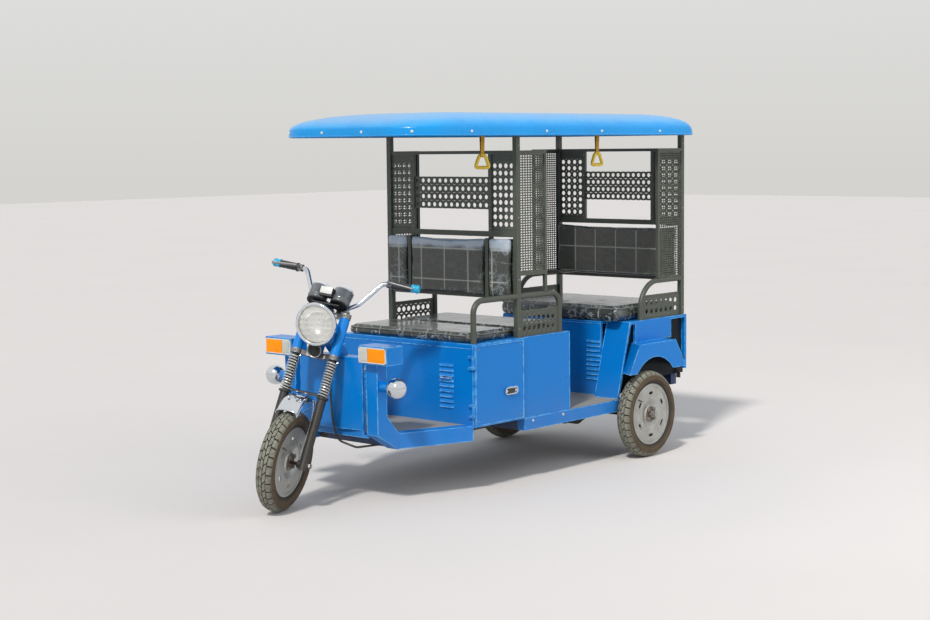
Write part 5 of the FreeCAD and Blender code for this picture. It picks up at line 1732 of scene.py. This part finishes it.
@dataclass
class Seats:
    """All cushions and backrests.

    Attributes:
        cushions: CAD node and seed of each flat cushion.
        swell: Furthest that a flat cushion swells, in millimetres.
        pad_gap: Where the driver's backrest is parted, on each side of the middle.
        pad_seams: Sewn channels of the driver's backrest.
        back_seams: Sewn channels of the passengers' backrests.
        piping: Radius of the piping, and how far it lies inside the edge and below the top, in millimetres.
    """

    cushions: tuple[tuple[str, int], ...] = (("driver_cushion", 3), ("passenger_cushion", 5), ("rear_cushion", 8))
    swell: float = 16.0
    pad_gap: Pair = (0.247, 0.27)
    pad_seams: tuple[Pair, Pair] = ((0.156, -0.009), (0.156, 1.142))
    back_seams: tuple[Pair, Pair] = ((0.141, 0.017), (0.14, 1.075))
    piping: tuple[float, float, float] = (2.6, 7.0, 9.0)

    def build(self) -> None:
        """Make the cushions and backrests with their piping."""
        for node, seed in self.cushions:
            low, high = (Vector(corner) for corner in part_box(node))
            piece = Cushion(node + "_cover", low, high, Look.VINYL, seed=seed, swell=self.swell).build()
            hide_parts(node)
            self.welt(node, high, low.y)
        self.driver_pads()
        for number, node in enumerate(("passenger_backrest", "rear_backrest")):
            low, high = (Vector(corner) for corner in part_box(node))
            piece = Cushion(node + "_cover", low, high, Look.VINYL_BACK, self.back_seams, 1, 21 + number).build()
            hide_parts(node)

    def driver_pads(self) -> None:
        """Make the driver's backrest in three pads, with olive strips between them."""
        low, high = (Vector(corner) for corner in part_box("driver_backrest"))
        near, far = self.pad_gap
        for number, (name, x0, x1) in enumerate(
            (("middle", -near, near), ("left", far, high.x), ("right", low.x, -far))
        ):
            corners = Vector((x0, low.y, low.z)), Vector((x1, high.y, high.z))
            # the side pads carry patches of painted reflection as well
            look = Look.VINYL_REFLECTING if number else Look.VINYL_TOP_REFLECTION
            Cushion("driver_backrest_" + name, *corners, look, self.pad_seams, 1, 11 + number).build()
        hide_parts("driver_backrest")
        strips = Shape()
        for side in (-1, 1):
            x0, x1 = sorted((side * (near + 0.001), side * (far - 0.001)))
            strips.box((x0, low.y + 0.012, low.z + 0.002), (x1, high.y - 0.002, high.z - 0.002))
        strips.make("backrest_dividers", Look.CABIN, "frame", bevel=1.5)

    def welt(self, node: str, high: Vector, front: float) -> None:
        """Lay the pale piping round a cushion's top edge.

        Args:
            node: CAD node of the cushion.
            high: Highest corner of its space.
            front: Its front edge.
        """
        radius, inset, below = self.piping
        inset *= MM
        height = high.z - below * MM
        line = round_loop(high.x - inset, front + inset, high.y - inset, (22 * MM, 22 * MM), 5, height)
        dense: list[Vector] = []
        for first, second in zip(line, line[1:] + line[:1]):
            count = max(1, int((second - first).length / 0.02))
            for step in range(count):
                point = first.lerp(second, step / count)
                dense.append(point + UP * noise.noise(point * 14.0) * 1.6 * MM)
        piping = Shape()
        piping.tube(dense, radius, closed=True)
        piping.make(node + "_piping", Look.PIPING, "frame", 80)


@dataclass
class GrabHandles:
    """Webbing straps over the grab rail with rounded rings.

    Attributes:
        across: Where the rail is across the vehicle.
        places: Middle of each strap along the length, and how far its ring hangs turned, in degrees.
        strap: Half width and half thickness of the webbing, in millimetres.
        strap_middle: Height of the strap's middle, and half of its height.
        ring: Corners of a ring across itself and up, in millimetres.
        steps: Steps round a strap.
    """

    across: float = 0.374
    places: tuple[Pair, ...] = ((-0.251, -48.0), (0.652, -18.0))
    strap: Pair = (12.0, 1.1)
    strap_middle: Pair = (1.6555, 0.061)
    ring: tuple[Pair, ...] = ((-34, 1545), (34, 1545), (12, 1606), (-12, 1606))
    steps: int = 24

    def build(self) -> None:
        """Make the straps and rings."""
        straps, rings = Shape(), Shape()
        height, reach = self.strap_middle
        for place, turn in self.places:
            line = []
            for step in range(self.steps):
                share = 2 * math.pi * step / self.steps
                wide = (3.4 + 5.0 * max(math.cos(share), 0.0)) * MM
                line.append(Vector((self.across + wide * math.sin(share), place, height + reach * math.cos(share))))
            self.band(straps, line)
            hung = Matrix.Translation((self.across, place, 0)) @ Matrix.Rotation(math.radians(turn), 4, "Z")
            corners = [Vector((0, y, z)) * MM for y, z in self.ring]
            rings.tube([hung @ point for point in round_corners(corners, 15)], 8.5, 12, closed=True)
        strap = straps.make("grab_straps", Look.STRAP, "frame")
        rings.make("grab_rings", Look.RING, "frame", 70)
        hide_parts("grab_handles")

    def band(self, shape: Shape, line: Sequence[Vector]) -> None:
        """Add a closed flat band round a loop in the plane across the vehicle.

        Args:
            shape: Shape that gets it.
            line: Points of the loop.
        """
        half, thick = (size * MM for size in self.strap)
        side = Vector((0, 1, 0))
        points = []
        for number, point in enumerate(line):
            out = (line[(number + 1) % len(line)] - line[number - 1]).normalized().cross(side)
            for across, depth in ((-half, thick), (half, thick), (half, -thick), (-half, -thick)):
                points.append(point + side * across + out * depth)
        shape.add(points, grid_faces(len(line), 4, closed=True, looped=True))


@dataclass
class PerforatedSheets:
    """Partition plates, armrest plates and fine mesh panels, with every hole cut through.

    Attributes:
        thick: Thickness of the sheets, in metres.
        partitions: Place along the length and half width between the dividers, of each partition.
        divider: Half width of a divider, in metres.
        end: Where the partitions end across the vehicle.
        meshes: Front, rear and foot of the mesh panels.
        mesh_side: How far out the mesh panels lie.
        mesh_top: Top of the mesh panels.
        mesh_pitch: Spacing of their slots along the length and up.
        arms: Front and rear of the armrest plates.
        arm_side: How far out the armrest plates lie.
    """

    thick: float = 3 * MM
    partitions: tuple[Pair, ...] = ((-0.0565, 0.258), (1.3425, 0.236))
    divider: float = 0.01
    end: float = 0.408
    meshes: tuple[tuple[float, float, float], ...] = ((-0.042, 0.146, 1.034), (1.128, 1.331, 0.932))
    mesh_side: float = 0.426
    mesh_top: float = 1.608
    mesh_pitch: Pair = (0.021, 0.0125)
    arms: tuple[Pair, ...] = ((-0.042, 0.2567), (0.9793, 1.331))
    arm_side: float = 0.421

    def build(self) -> None:
        """Make every sheet as one piece."""
        sheets = Shape()
        right, along = Vector((1, 0, 0)), Vector((0, 1, 0))
        none = (0.0, 0.0, 0.0, 0.0)
        for place, half in self.partitions:
            inside, outside = half - self.divider, half + self.divider
            corner = Vector((-inside, place, 1.338))
            self.plate(sheets, corner, right, (2 * inside, 0.159), (13, 4), none, self.circle(11))
            size = (self.end - outside, 0.377)
            for x in (outside, -self.end):
                margins = (0.0, 0.0, 0.018, 0.04)
                self.plate(sheets, Vector((x, place, 1.231)), right, size, (4, 9), margins, self.circle(12))
        for side in (1, -1):
            back = 0.0 if side > 0 else self.thick
            for y0, y1, z0 in self.meshes:
                size = (y1 - y0, self.mesh_top - z0)
                grid = (round(size[0] / self.mesh_pitch[0]), round(size[1] / self.mesh_pitch[1]))
                corner = Vector((side * self.mesh_side - back, y0, z0))
                self.plate(sheets, corner, along, size, grid, (0.005,) * 4, self.slot(8.4, 3.6))
            for y0, y1 in self.arms:
                corner = Vector((side * self.arm_side - back, y0, 0.717))
                self.plate(sheets, corner, along, (y1 - y0, 0.129), (7, 2), (0.02,) * 4, self.circle(13.5))
        piece = sheets.make("perforated_sheets", Look.CABIN, "frame", 30)
        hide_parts("perforated_plates")

    @staticmethod
    def circle(radius: float) -> list[Pair]:
        """Give twelve points of a round hole, in metres."""
        turns = [math.radians(15 + 30 * step) for step in range(12)]
        return [(radius * MM * math.cos(turn), radius * MM * math.sin(turn)) for turn in turns]

    @staticmethod
    def slot(half: float, tall: float) -> list[Pair]:
        """Give eight points of a pointed slot, in metres, from half its length and half its height."""
        shares = ((1, 0.3), (0.5, 1), (-0.5, 1), (-1, 0.3), (-1, -0.3), (-0.5, -1), (0.5, -1), (1, -0.3))
        return [(half * MM * x, tall * MM * z) for x, z in shares]

    def plate(
        self, shape: Shape, corner: Vector, across: Vector, size: Pair, grid: tuple[int, int],
        margins: tuple[float, ...], hole: Sequence[Pair],
    ) -> None:
        """Add an upright sheet with a grid of holes.

        Args:
            shape: Shape that gets it.
            corner: Its lowest corner on the back.
            across: Way that its width runs.
            size: Its width and height.
            grid: Columns and rows of holes.
            margins: Plain borders at the start and end of the width and at the foot and top.
            hole: Outline of a hole round its middle.
        """
        out = across.cross(UP) * -self.thick
        if out.x < 0:
            out = -out
        faces = (Vector((0, 0, 0)), out)
        (wide, tall), (columns, rows), (start, end, foot, top) = size, grid, margins
        cell_w = (wide - start - end) / columns
        cell_h = (tall - foot - top) / rows
        count = len(hole)
        cell = []
        for step in range(count):
            after = (step + 1) % count
            cell.append((step, after, count + after, count + step))
            cell.append((2 * count + after, 2 * count + step, 3 * count + step, 3 * count + after))
            cell.append((after, step, 2 * count + step, 2 * count + after))
        reaches = [max(abs(x) / (cell_w / 2), abs(z) / (cell_h / 2)) for x, z in hole]
        border = [(x / reach, z / reach) for (x, z), reach in zip(hole, reaches)]
        for column in range(columns):
            for row in range(rows):
                centre = corner + across * (start + cell_w * (column + 0.5)) + UP * (foot + cell_h * (row + 0.5))
                shape.add([centre + depth + across * x + UP * z
                           for depth in faces for outline in (hole, border) for x, z in outline], cell)
        for x0, x1, z0, z1 in ((0, start, 0, tall), (wide - end, wide, 0, tall), (start, wide - end, 0, foot),
                               (start, wide - end, tall - top, tall)):
            if x1 - x0 > 0 and z1 - z0 > 0:
                shape.add([corner + depth + across * x + UP * z for depth in faces for z in (z0, z1) for x in (x0, x1)],
                          BOX_FACES)


@dataclass
class Lamps:
    """Ribbed lenses of the indicators with their borders, and the lenses of the tail lamps.

    Attributes:
        front: Y of the indicators' face.
        clear: Inner and outer end of the clear lens, in millimetres.
        amber: Inner and outer end of the amber lens, in millimetres.
        border: Inner and outer end of the border, in millimetres.
        heights: Foot and top of the lenses.
        frame: Width of the border.
        tail: Outline of a tail lamp's section, across and back, in metres.
        tail_rows: Height of each section and the share of its depth.
        tail_face: Y of the panel behind the tail lamps.
    """

    front: float = -0.9547
    clear: Pair = (232, 283)
    amber: Pair = (286, 394)
    border: Pair = (228, 398)
    heights: Pair = (0.6785, 0.7415)
    frame: float = 4 * MM
    tail: tuple[Pair, ...] = (
        (0.338, 0.0), (0.342, 0.012), (0.368, 0.032), (0.392, 0.032), (0.422, 0.008), (0.428, 0.0),
    )
    tail_rows: tuple[Pair, ...] = (
        (0.471, 0.55), (0.477, 0.92), (0.488, 1.0), (0.522, 1.0), (0.533, 0.92), (0.539, 0.55),
    )
    tail_face: float = 1.381

    def build(self) -> None:
        """Make the lenses and their white borders."""
        amber, clear, border, tails = Shape(), Shape(), Shape(), Shape()
        low, high = self.heights
        foot, top = low - self.frame, high + self.frame
        for side in (1, -1):
            for shape, ends in ((clear, self.clear), (amber, self.amber)):
                self.lens(shape, *span(side, *ends))
            x0, x1 = span(side, *self.border)
            for left, right, z0, z1 in ((x0, x1, foot, low), (x0, x1, high, top), (x0, x0 + self.frame, foot, top),
                                        (x1 - self.frame, x1, foot, top)):
                border.box((left, self.front - 1 * MM, z0), (right, self.front + 14 * MM, z1))
            points = [Vector((side * x, self.tail_face + depth * share, z))
                      for z, share in self.tail_rows for x, depth in self.tail]
            count, rows = len(self.tail), len(self.tail_rows)
            ends = [tuple(range(count)), tuple(range((rows - 1) * count, rows * count))]
            tails.add(points, grid_faces(rows, count) + ends)
        lamp = tails.make("tail_lamp_lenses", Look.RED, "frame", 50)
        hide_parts("tail_lamps")
        piece = amber.make("indicator_amber_lenses", Look.AMBER, "frame", 60)
        clear.make("indicator_clear_lenses", Look.CLEAR, "frame", 60)
        border.make("indicator_borders", Look.WHITE, "frame")
        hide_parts("indicator_lenses")

    def lens(self, shape: Shape, x0: float, x1: float) -> None:
        """Add an indicator's lens, whose face bulges a little and has upright ribs.

        Args:
            shape: Shape that gets it.
            x0: Lowest X.
            x1: Highest X.
        """
        z0, z1 = self.heights
        columns = max(8, int((x1 - x0) / (1.5 * MM)))
        rows = 8
        points: list[Vector] = []
        for row in range(rows + 1):
            for column in range(columns + 1):
                across, up = column / columns, row / rows
                x, z = x0 + (x1 - x0) * across, z0 + (z1 - z0) * up
                swell = 4 * MM * (1 - (2 * across - 1) ** 6) * (1 - (2 * up - 1) ** 6)
                rib = 0.5 * MM * math.cos(2 * math.pi * x / (6 * MM))
                points.append(Vector((x, self.front - swell + rib, z)))
        shape.add(points, grid_faces(rows + 1, columns + 1))
        shape.box((x0, self.front - 1 * MM, z0), (x1, self.front + 14 * MM, z1))


@dataclass
class BodyTrim:
    """The canopy's shell, and the rivets, bolts, latches, seams and rolled edges of the body.

    Attributes:
        canopy_rows: Half width, rear and front from the rear axle, rear and front corner radius, and height,
            all in millimetres.
        canopy_half: Half width of the canopy's lower edge.
        canopy_ends: Front and rear of the canopy's lower edge.
        canopy_corners: Radius of its front and rear corners.
        shell: Thickness of the canopy, in millimetres.
        axle: Place of the rear axle, in millimetres.
        rivet_height: Height of the row of rivets round the canopy.
        rivets: Places of the rivets along the canopy's sides.
        door: Lower and upper Y, and lower and upper Z, of a battery door's edge.
        latch: Y and Z of a door's latch.
        box_front: Y of the seat box's front.
        side: How far out the seat boxes' edges are.
    """

    canopy_rows: tuple[tuple[float, ...], ...] = (
        (478, 505, -1745, 90, 200, 1698), (478.5, 505, -1745, 92, 200, 1714), (475, 501, -1742, 100, 200, 1746),
        (444, 470, -1668, 110, 195, 1777), (340, 376, -1460, 110, 160, 1805), (170, 205, -1190, 90, 100, 1812.5),
        (20, -100, -800, 15, 15, 1813),
    )
    canopy_half: float = 0.4782
    canopy_ends: Pair = (-0.8162, 1.4342)
    canopy_corners: Pair = (0.2002, 0.0902)
    shell: float = 4.0
    axle: float = 929.0
    rivet_height: float = 1.716
    rivets: tuple[float, ...] = (-0.442, 0.112, 0.557, 1.066)
    door: tuple[float, float, float, float] = (-0.392, -0.043, 0.328, 0.705)
    latch: Pair = (-0.138, 0.47)
    box_front: float = -0.403
    side: float = 0.434

    def build(self) -> None:
        """Make all of its pieces."""
        self.canopy()
        self.step_bolts()
        for name, side in (("left", 1), ("right", -1)):
            self.door_trim(name, side)
        self.panel_folds()
        self.box_handles()
        self.cabin_screws()

    def canopy(self) -> None:
        """Loft the smooth moulded shell, with its lip and its rivets."""
        rows = curve_rows(self.canopy_rows, 8)
        shell = Shape()
        for thick in (0.0, self.shell):
            points = [point for row in rows for point in self.outline(row, thick)]
            count = len(points) // len(rows)
            faces = grid_faces(len(rows), count, closed=True)
            faces.append(tuple(range((len(rows) - 1) * count, len(rows) * count)))
            shell.add(points, [face[::-1] for face in faces] if thick else faces)
        piece = shell.make("canopy_shell", Look.CANOPY, "frame", 60)
        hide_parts("canopy")
        lip = Shape()
        edge = round_loop(self.canopy_half, *self.canopy_ends, self.canopy_corners, 12, 1.7)
        lip.tube(edge, 3.4, closed=True)
        lip.make("canopy_lip", Look.CANOPY, "frame", 70)
        rivets = Shape()
        front, rear = self.canopy_ends
        spots = [(side * self.canopy_half, y, side, 0) for y in self.rivets for side in (1, -1)]
        for side in (1, -1):
            spots.append((side * 0.406, -0.77, side * 0.64, -0.77))
            spots += [(side * 0.13, front, 0, -1), (side * 0.13, rear, 0, 1)]
        for x, y, out, along in spots:
            rivets.dome(Vector((x, y, self.rivet_height)), Vector((out, along, 0)), 7, 4, 14)
        rivets.make("canopy_rivets", Look.WHITE, "frame")

    def outline(self, row: tuple[float, ...], thick: float) -> list[Vector]:
        """Give a level section of the canopy.

        Args:
            row: One of the canopy's rows.
            thick: How far inside it lies.

        Returns:
            The points, with the straight sides divided too.
        """
        half, rear, front, rear_r, front_r, height = row
        radii = (max(front_r - thick, 4.0) * MM, max(rear_r - thick, 4.0) * MM)
        steps = 12
        loop = round_loop((half - thick) * MM, (front + thick + self.axle) * MM, (rear - thick + self.axle) * MM,
                          radii, steps, (height - thick) * MM)
        points = []
        for first in range(0, len(loop), steps + 1):
            corner = loop[first:first + steps + 1]
            following = loop[(first + steps + 1) % len(loop)]
            points += corner + [corner[-1].lerp(following, step / steps) for step in range(1, steps)]
        return points

    @staticmethod
    def step_bolts() -> None:
        """Set the dome bolts of the step rails."""
        bolts = Shape()
        for side in (1, -1):
            for place in (0.035, 0.276):
                bolts.dome(Vector((side * 0.44, place, 0.301)), Vector((side, 0, 0)), 8, 6)
        bolts.make("step_bolts", Look.CHROME, "frame")

    def door_trim(self, name: str, side: int) -> None:
        """Add a battery door's rolled edge, plated latch and screws.

        Args:
            name: Which door it is.
            side: 1 on the left and -1 on the right.
        """
        body = "door_" + name
        out = Vector((side, 0, 0))
        y0, y1, z0, z1 = self.door
        rim = Shape()
        corners = [Vector((side * 0.4452, y, z)) for y, z in ((y0, z0), (y1, z0), (y1, z1), (y0, z1))]
        rim.tube(round_corners(corners, 10), 2.4, closed=True)
        rim.make("door_rim_" + name, Look.BODY, body, 70)
        latch = Shape()
        middle_y, middle_z = self.latch
        corners = [Vector((side * 0.4515, middle_y + y * MM, middle_z + z * MM))
                   for y, z in ((-44, -15), (44, -15), (44, 15), (-44, 15))]
        latch.tube(round_corners(corners, 14), 3.6, closed=True)
        for y in (-33, 33):
            latch.dome(Vector((side * 0.4465, middle_y + y * MM, middle_z)), out, 9, 7)
        latch.make("door_latch_" + name, Look.CHROME, body)
        recess = Shape()
        at_latch = stand(Vector((side * 0.4455, middle_y, middle_z)), out)
        recess.box((-0.026, -0.0115, -0.004), (0.026, 0.0115, 0.0068), at_latch)
        recess.make("door_latch_recess_" + name, Look.PLASTIC, body, bevel=2)
        screws = Shape()
        for y in (-0.372, -0.062):
            for z in (0.345, 0.69):
                screws.dome(Vector((side * 0.445, y, z)), out, 4, 2.2, 12)
        screws.make("door_screws_" + name, Look.STEEL, body)

    def panel_folds(self) -> None:
        """Roll the edges of the seat boxes' and the nose's panels."""
        folds = Shape()
        front = self.box_front
        reach = self.side - 2 * MM
        for z in (0.694, 0.3265):
            folds.tube([Vector((x, front - 0.5 * MM, z)) for x in (-reach, reach)], 2.2)
        for x in (-self.side, self.side):
            for y in (front, 0.3372):
                folds.tube([Vector((x, y, z)) for z in (0.33, 0.712)], 2.4)
        folds.tube([Vector((x, 0.7965, 0.7035)) for x in (-0.283, 0.283)], 2.2)
        upright = (
            ((self.side, 0.7455, 0.326), (self.side, 0.8552, 0.714), 2.6),
            ((0.286, 0.7435, 0.326), (0.286, 0.8532, 0.714), 2.2),
            ((0.305, -0.9148, 0.345), (0.305, -0.9148, 0.664), 2.4),
            ((0.2365, -0.9148, 0.345), (0.2365, -0.9148, 0.664), 2.2),
        )
        for side in (1, -1):
            for foot, top, radius in upright:
                folds.tube([Vector((side * x, y, z)) for x, y, z in (foot, top)], radius)
        folds.make("panel_folds", Look.BODY, "frame", 70)

    def box_handles(self) -> None:
        """Put a small bowed handle on each side of the seat box's front."""
        handle = Shape()
        half = ((0.02, -0.0145), (0.028, -0.008), (0.03, 0.004))
        bow = [(-x, y) for x, y in reversed(half)] + list(half)
        for side in (1, -1):
            spot = Vector((side * 0.263, self.box_front - 0.0005, 0.5475))
            handle.tube([spot + Vector((side * x, y, 0)) for x, y in bow], 3.2, 10)
            for x in (-0.03, 0.03):
                handle.dome(spot + Vector((x, -0.0005, 0)), Vector((0, -1, 0)), 7, 3, 16)
        handle.make("box_handles", Look.CHROME, "frame")

    def cabin_screws(self) -> None:
        """Set the screws that hold the perforated plates and the armrests."""
        screws = Shape()
        for place, divider in ((-0.055, 0.258), (1.344, 0.236)):
            for x in (divider, -divider):
                for z in (1.245, 1.36, 1.475, 1.59):
                    screws.dome(Vector((x, place - 8 * MM, z)), Vector((0, -1, 0)), 4.2, 2.4, 12)
        for side in (1, -1):
            for place in (-0.055, 1.344):
                for z in (0.76, 1.0, 1.3, 1.65):
                    screws.dome(Vector((side * self.side, place, z)), Vector((side, 0, 0)), 5, 3, 12)
        screws.make("cabin_screws", Look.STEEL, "frame")


class Dressing:
    """Gives the CAD solids that stay in view their finishes.

    Attributes:
        LOOKS: CAD nodes that get each finish.
    """

    LOOKS: dict[Look, tuple[str, ...]] = {
        Look.BODY: (
            "battery_door_left", "battery_door_right", "front_shield", "indicator_housings", "nose_frames",
            "seat_box", "steering_column", "step_rails",
        ),
        # painted shade in the wheel houses and on faces that look down or inwards
        Look.HOUSED: ("rear_body", "rear_fenders"),
        # dark blue with painted shade
        Look.CROSS: ("chassis_members",),
        Look.LEG: ("fork_legs",),
        Look.FORK: ("fork_covers",),
        Look.CABIN: ("armrests", "cabin_bars", "cabin_posts", "cabin_rails", "roof_bows", "roof_rails"),
        Look.CHASSIS: ("chassis_rails", "drive_motor", "leaf_springs", "rear_axle"),
        Look.WHEEL: ("front_rim", "rear_rim_left", "rear_rim_right"),
        Look.CHROME: ("handlebar",),
        Look.STEEL: ("fork_yokes", "levers"),
        Look.FLOOR: ("floor_sheets",),
        Look.PLASTIC: ("battery_pack", "headlight_bowl", "horn", "instruments"),
        Look.RUBBER: ("control_cable", "grips", "mud_flaps"),
        Look.BALL: ("ball_lamps",),
    }

    def build(self) -> None:
        """Put a finish on each of the nodes."""
        for look, nodes in self.LOOKS.items():
            for name in nodes:
                mesh = frame["nodes"][name].data
                mesh.materials.clear()
                mesh.materials.append(look.value.material())
                LOG.info("%s: %s", name, look.value.name)


@dataclass
class Studio:
    """Camera, lamps, sky and the pale ground.

    Attributes:
        camera_at: Where the camera stands.
        heading: Its heading from +Y towards -X, in degrees.
        pitch: How far it looks down, in degrees.
        roll: How far it is rolled, in degrees.
        lens: Focal length for a 36 mm sensor.
        reach: How far the ground reaches.
        sky_strength: Strength of the sky's light.
        sky_fade: Colours of the sky, from below to above, and where each begins.
        wall_fade: The same for the backdrop that is seen.
        sun_energy: Strength of the sun.
        sun_from: Way to the sun.
        side_energy: Power of the soft lamp.
        side_at: Where the soft lamp hangs.
    """

    camera_at: Vector = field(default_factory=lambda: Vector((5.6821, -6.3942, 1.6493)))
    heading: float = 41.4597
    pitch: float = 5.509
    roll: float = -0.6131
    lens: float = 65.93
    reach: float = 40.0
    sky_strength: float = 0.62
    sky_fade: tuple[tuple[float, Colour], ...] = ((0.46, srgb(120, 122, 112)), (0.62, srgb(236, 242, 250)))
    wall_fade: tuple[tuple[float, Colour], ...] = ((0.49, srgb(212, 211, 208)), (0.66, srgb(240, 241, 242)))
    sun_energy: float = 2.4
    sun_from: tuple[float, float, float] = (0.30, -0.82, 0.95)
    side_energy: float = 80.0
    side_at: tuple[float, float, float] = (5.0, 1.5, 3.2)

    def build(self) -> None:
        """Make everything round the vehicle."""
        bpy.context.scene.view_settings.view_transform = "Standard"
        self.camera()
        self.ground()
        self.sky()
        self.lamps()

    def camera(self) -> None:
        """Stand the camera where the photo was taken from."""
        turn, down, roll = (math.radians(value) for value in (self.heading, self.pitch, self.roll))
        ahead = Vector((-math.sin(turn) * math.cos(down), math.cos(turn) * math.cos(down), -math.sin(down)))
        right = Vector((math.cos(turn), math.sin(turn), 0))
        up = right.cross(ahead)
        across = right * math.cos(roll) + up * math.sin(roll)
        above = up * math.cos(roll) - right * math.sin(roll)
        data = bpy.data.cameras.new("camera")
        data.lens = self.lens
        data.sensor_width = 36.0
        camera = show("camera", data)
        turned = Matrix((across, above, -ahead)).transposed().to_4x4()
        camera.matrix_world = Matrix.Translation(self.camera_at) @ turned
        bpy.context.scene.camera = camera

    def ground(self) -> None:
        """Lay the pale floor that takes the shadow."""
        mesh = bpy.data.meshes.new("ground")
        corners = [(x * self.reach, y * self.reach, 0) for x, y in ((-1, -1), (1, -1), (1, 1), (-1, 1))]
        mesh.from_pydata(corners, [], [(0, 1, 2, 3)])
        ground = show("ground", mesh)
        ground.location.z = -0.5 * MM
        nodes = Nodes("pale ground")
        speckle = nodes.effect(Effect.MOTTLE, Colour=srgb(216, 212, 209), Scale=0.7, Amount=0.04)
        nodes.shade(Base_Color=speckle["Colour"], Roughness=0.9, Specular_IOR_Level=0.2)
        ground.data.materials.append(nodes.material)

    @staticmethod
    def fade(tree: Tree, value: Socket, stops: tuple[tuple[float, Colour], ...]) -> Socket:
        """Turn a value into a colour between two.

        Args:
            tree: Tree that gets the node.
            value: Socket to turn.
            stops: Place and colour of both ends.

        Returns:
            The colour's socket.
        """
        node = add_node(tree, "ValToRGB", {0: value})
        for element, (place, colour) in zip(node.color_ramp.elements, stops):
            element.position = place
            element.color = (*colour, 1.0)
        return node.outputs[0]

    def sky(self) -> None:
        """Light the scene evenly, with a pale backdrop for the camera."""
        world = bpy.data.worlds.new("sky")
        bpy.context.scene.world = world
        world.use_nodes = True
        tree = world.node_tree
        tree.nodes.clear()
        height = part_of(tree, add_node(tree, "TexCoord").outputs["Generated"], "Z")
        height = add_node(tree, "MapRange", {"Value": height, "From Min": -1.0}).outputs["Result"]
        light = {"Color": self.fade(tree, height, self.sky_fade), "Strength": self.sky_strength}
        even = add_node(tree, "Background", light)
        pale = add_node(tree, "Background", {"Color": self.fade(tree, height, self.wall_fade)})
        path = add_node(tree, "LightPath").outputs
        seen = path["Is Camera Ray"]
        for ray in ("Is Glossy Ray", "Is Transmission Ray"):
            seen = calc(tree, "MAXIMUM", seen, path[ray])
        mix = add_node(tree, "MixShader", {0: seen, 1: even.outputs[0], 2: pale.outputs[0]})
        add_node(tree, "OutputWorld", {0: mix.outputs[0]})

    def lamps(self) -> None:
        """Hang the sun behind the camera's left shoulder and a soft lamp on the right."""
        sun = bpy.data.lights.new("sun", "SUN")
        sun.energy = self.sun_energy
        sun.angle = math.radians(6)
        sun.color = (1.0, 0.97, 0.93)
        show("sun", sun).rotation_euler = Vector(self.sun_from).to_track_quat("Z", "Y").to_euler()
        soft = bpy.data.lights.new("side lamp", "AREA")
        soft.energy = self.side_energy
        soft.size = 4.0
        side = show("side lamp", soft)
        side.location = self.side_at
        side.rotation_euler = (Vector(self.side_at) - Vector((0, 0.2, 0.8))).to_track_quat("Z", "Y").to_euler()
        side.visible_glossy = False


def main() -> None:
    """Build the scene's pieces in turn."""
    logging.basicConfig(level=logging.INFO, format="%(message)s")
    across = Vector((1, 0, 0))
    Studio().build()
    Dressing().build()
    TreadedTyre("front_tyre", "front_wheel", 235, 80, FORK.across).build()
    for name, side in (("left", 1), ("right", -1)):
        tyre, body = "rear_tyre_" + name, "rear_wheel_" + name
        TreadedTyre(tyre, body, 228, 84, across).build()
        WheelTrim("wheel_" + name, tyre, body, across * side, 26, 14.3, (20, 28.5, 14)).build()
    WheelTrim("wheel_front", "front_tyre", "front_wheel", FORK.across, 24, 8.3).build()
    SteeringDress().build()
    Seats().build()
    GrabHandles().build()
    PerforatedSheets().build()
    Lamps().build()
    BodyTrim().build()


if __name__ == "__main__":
    main()
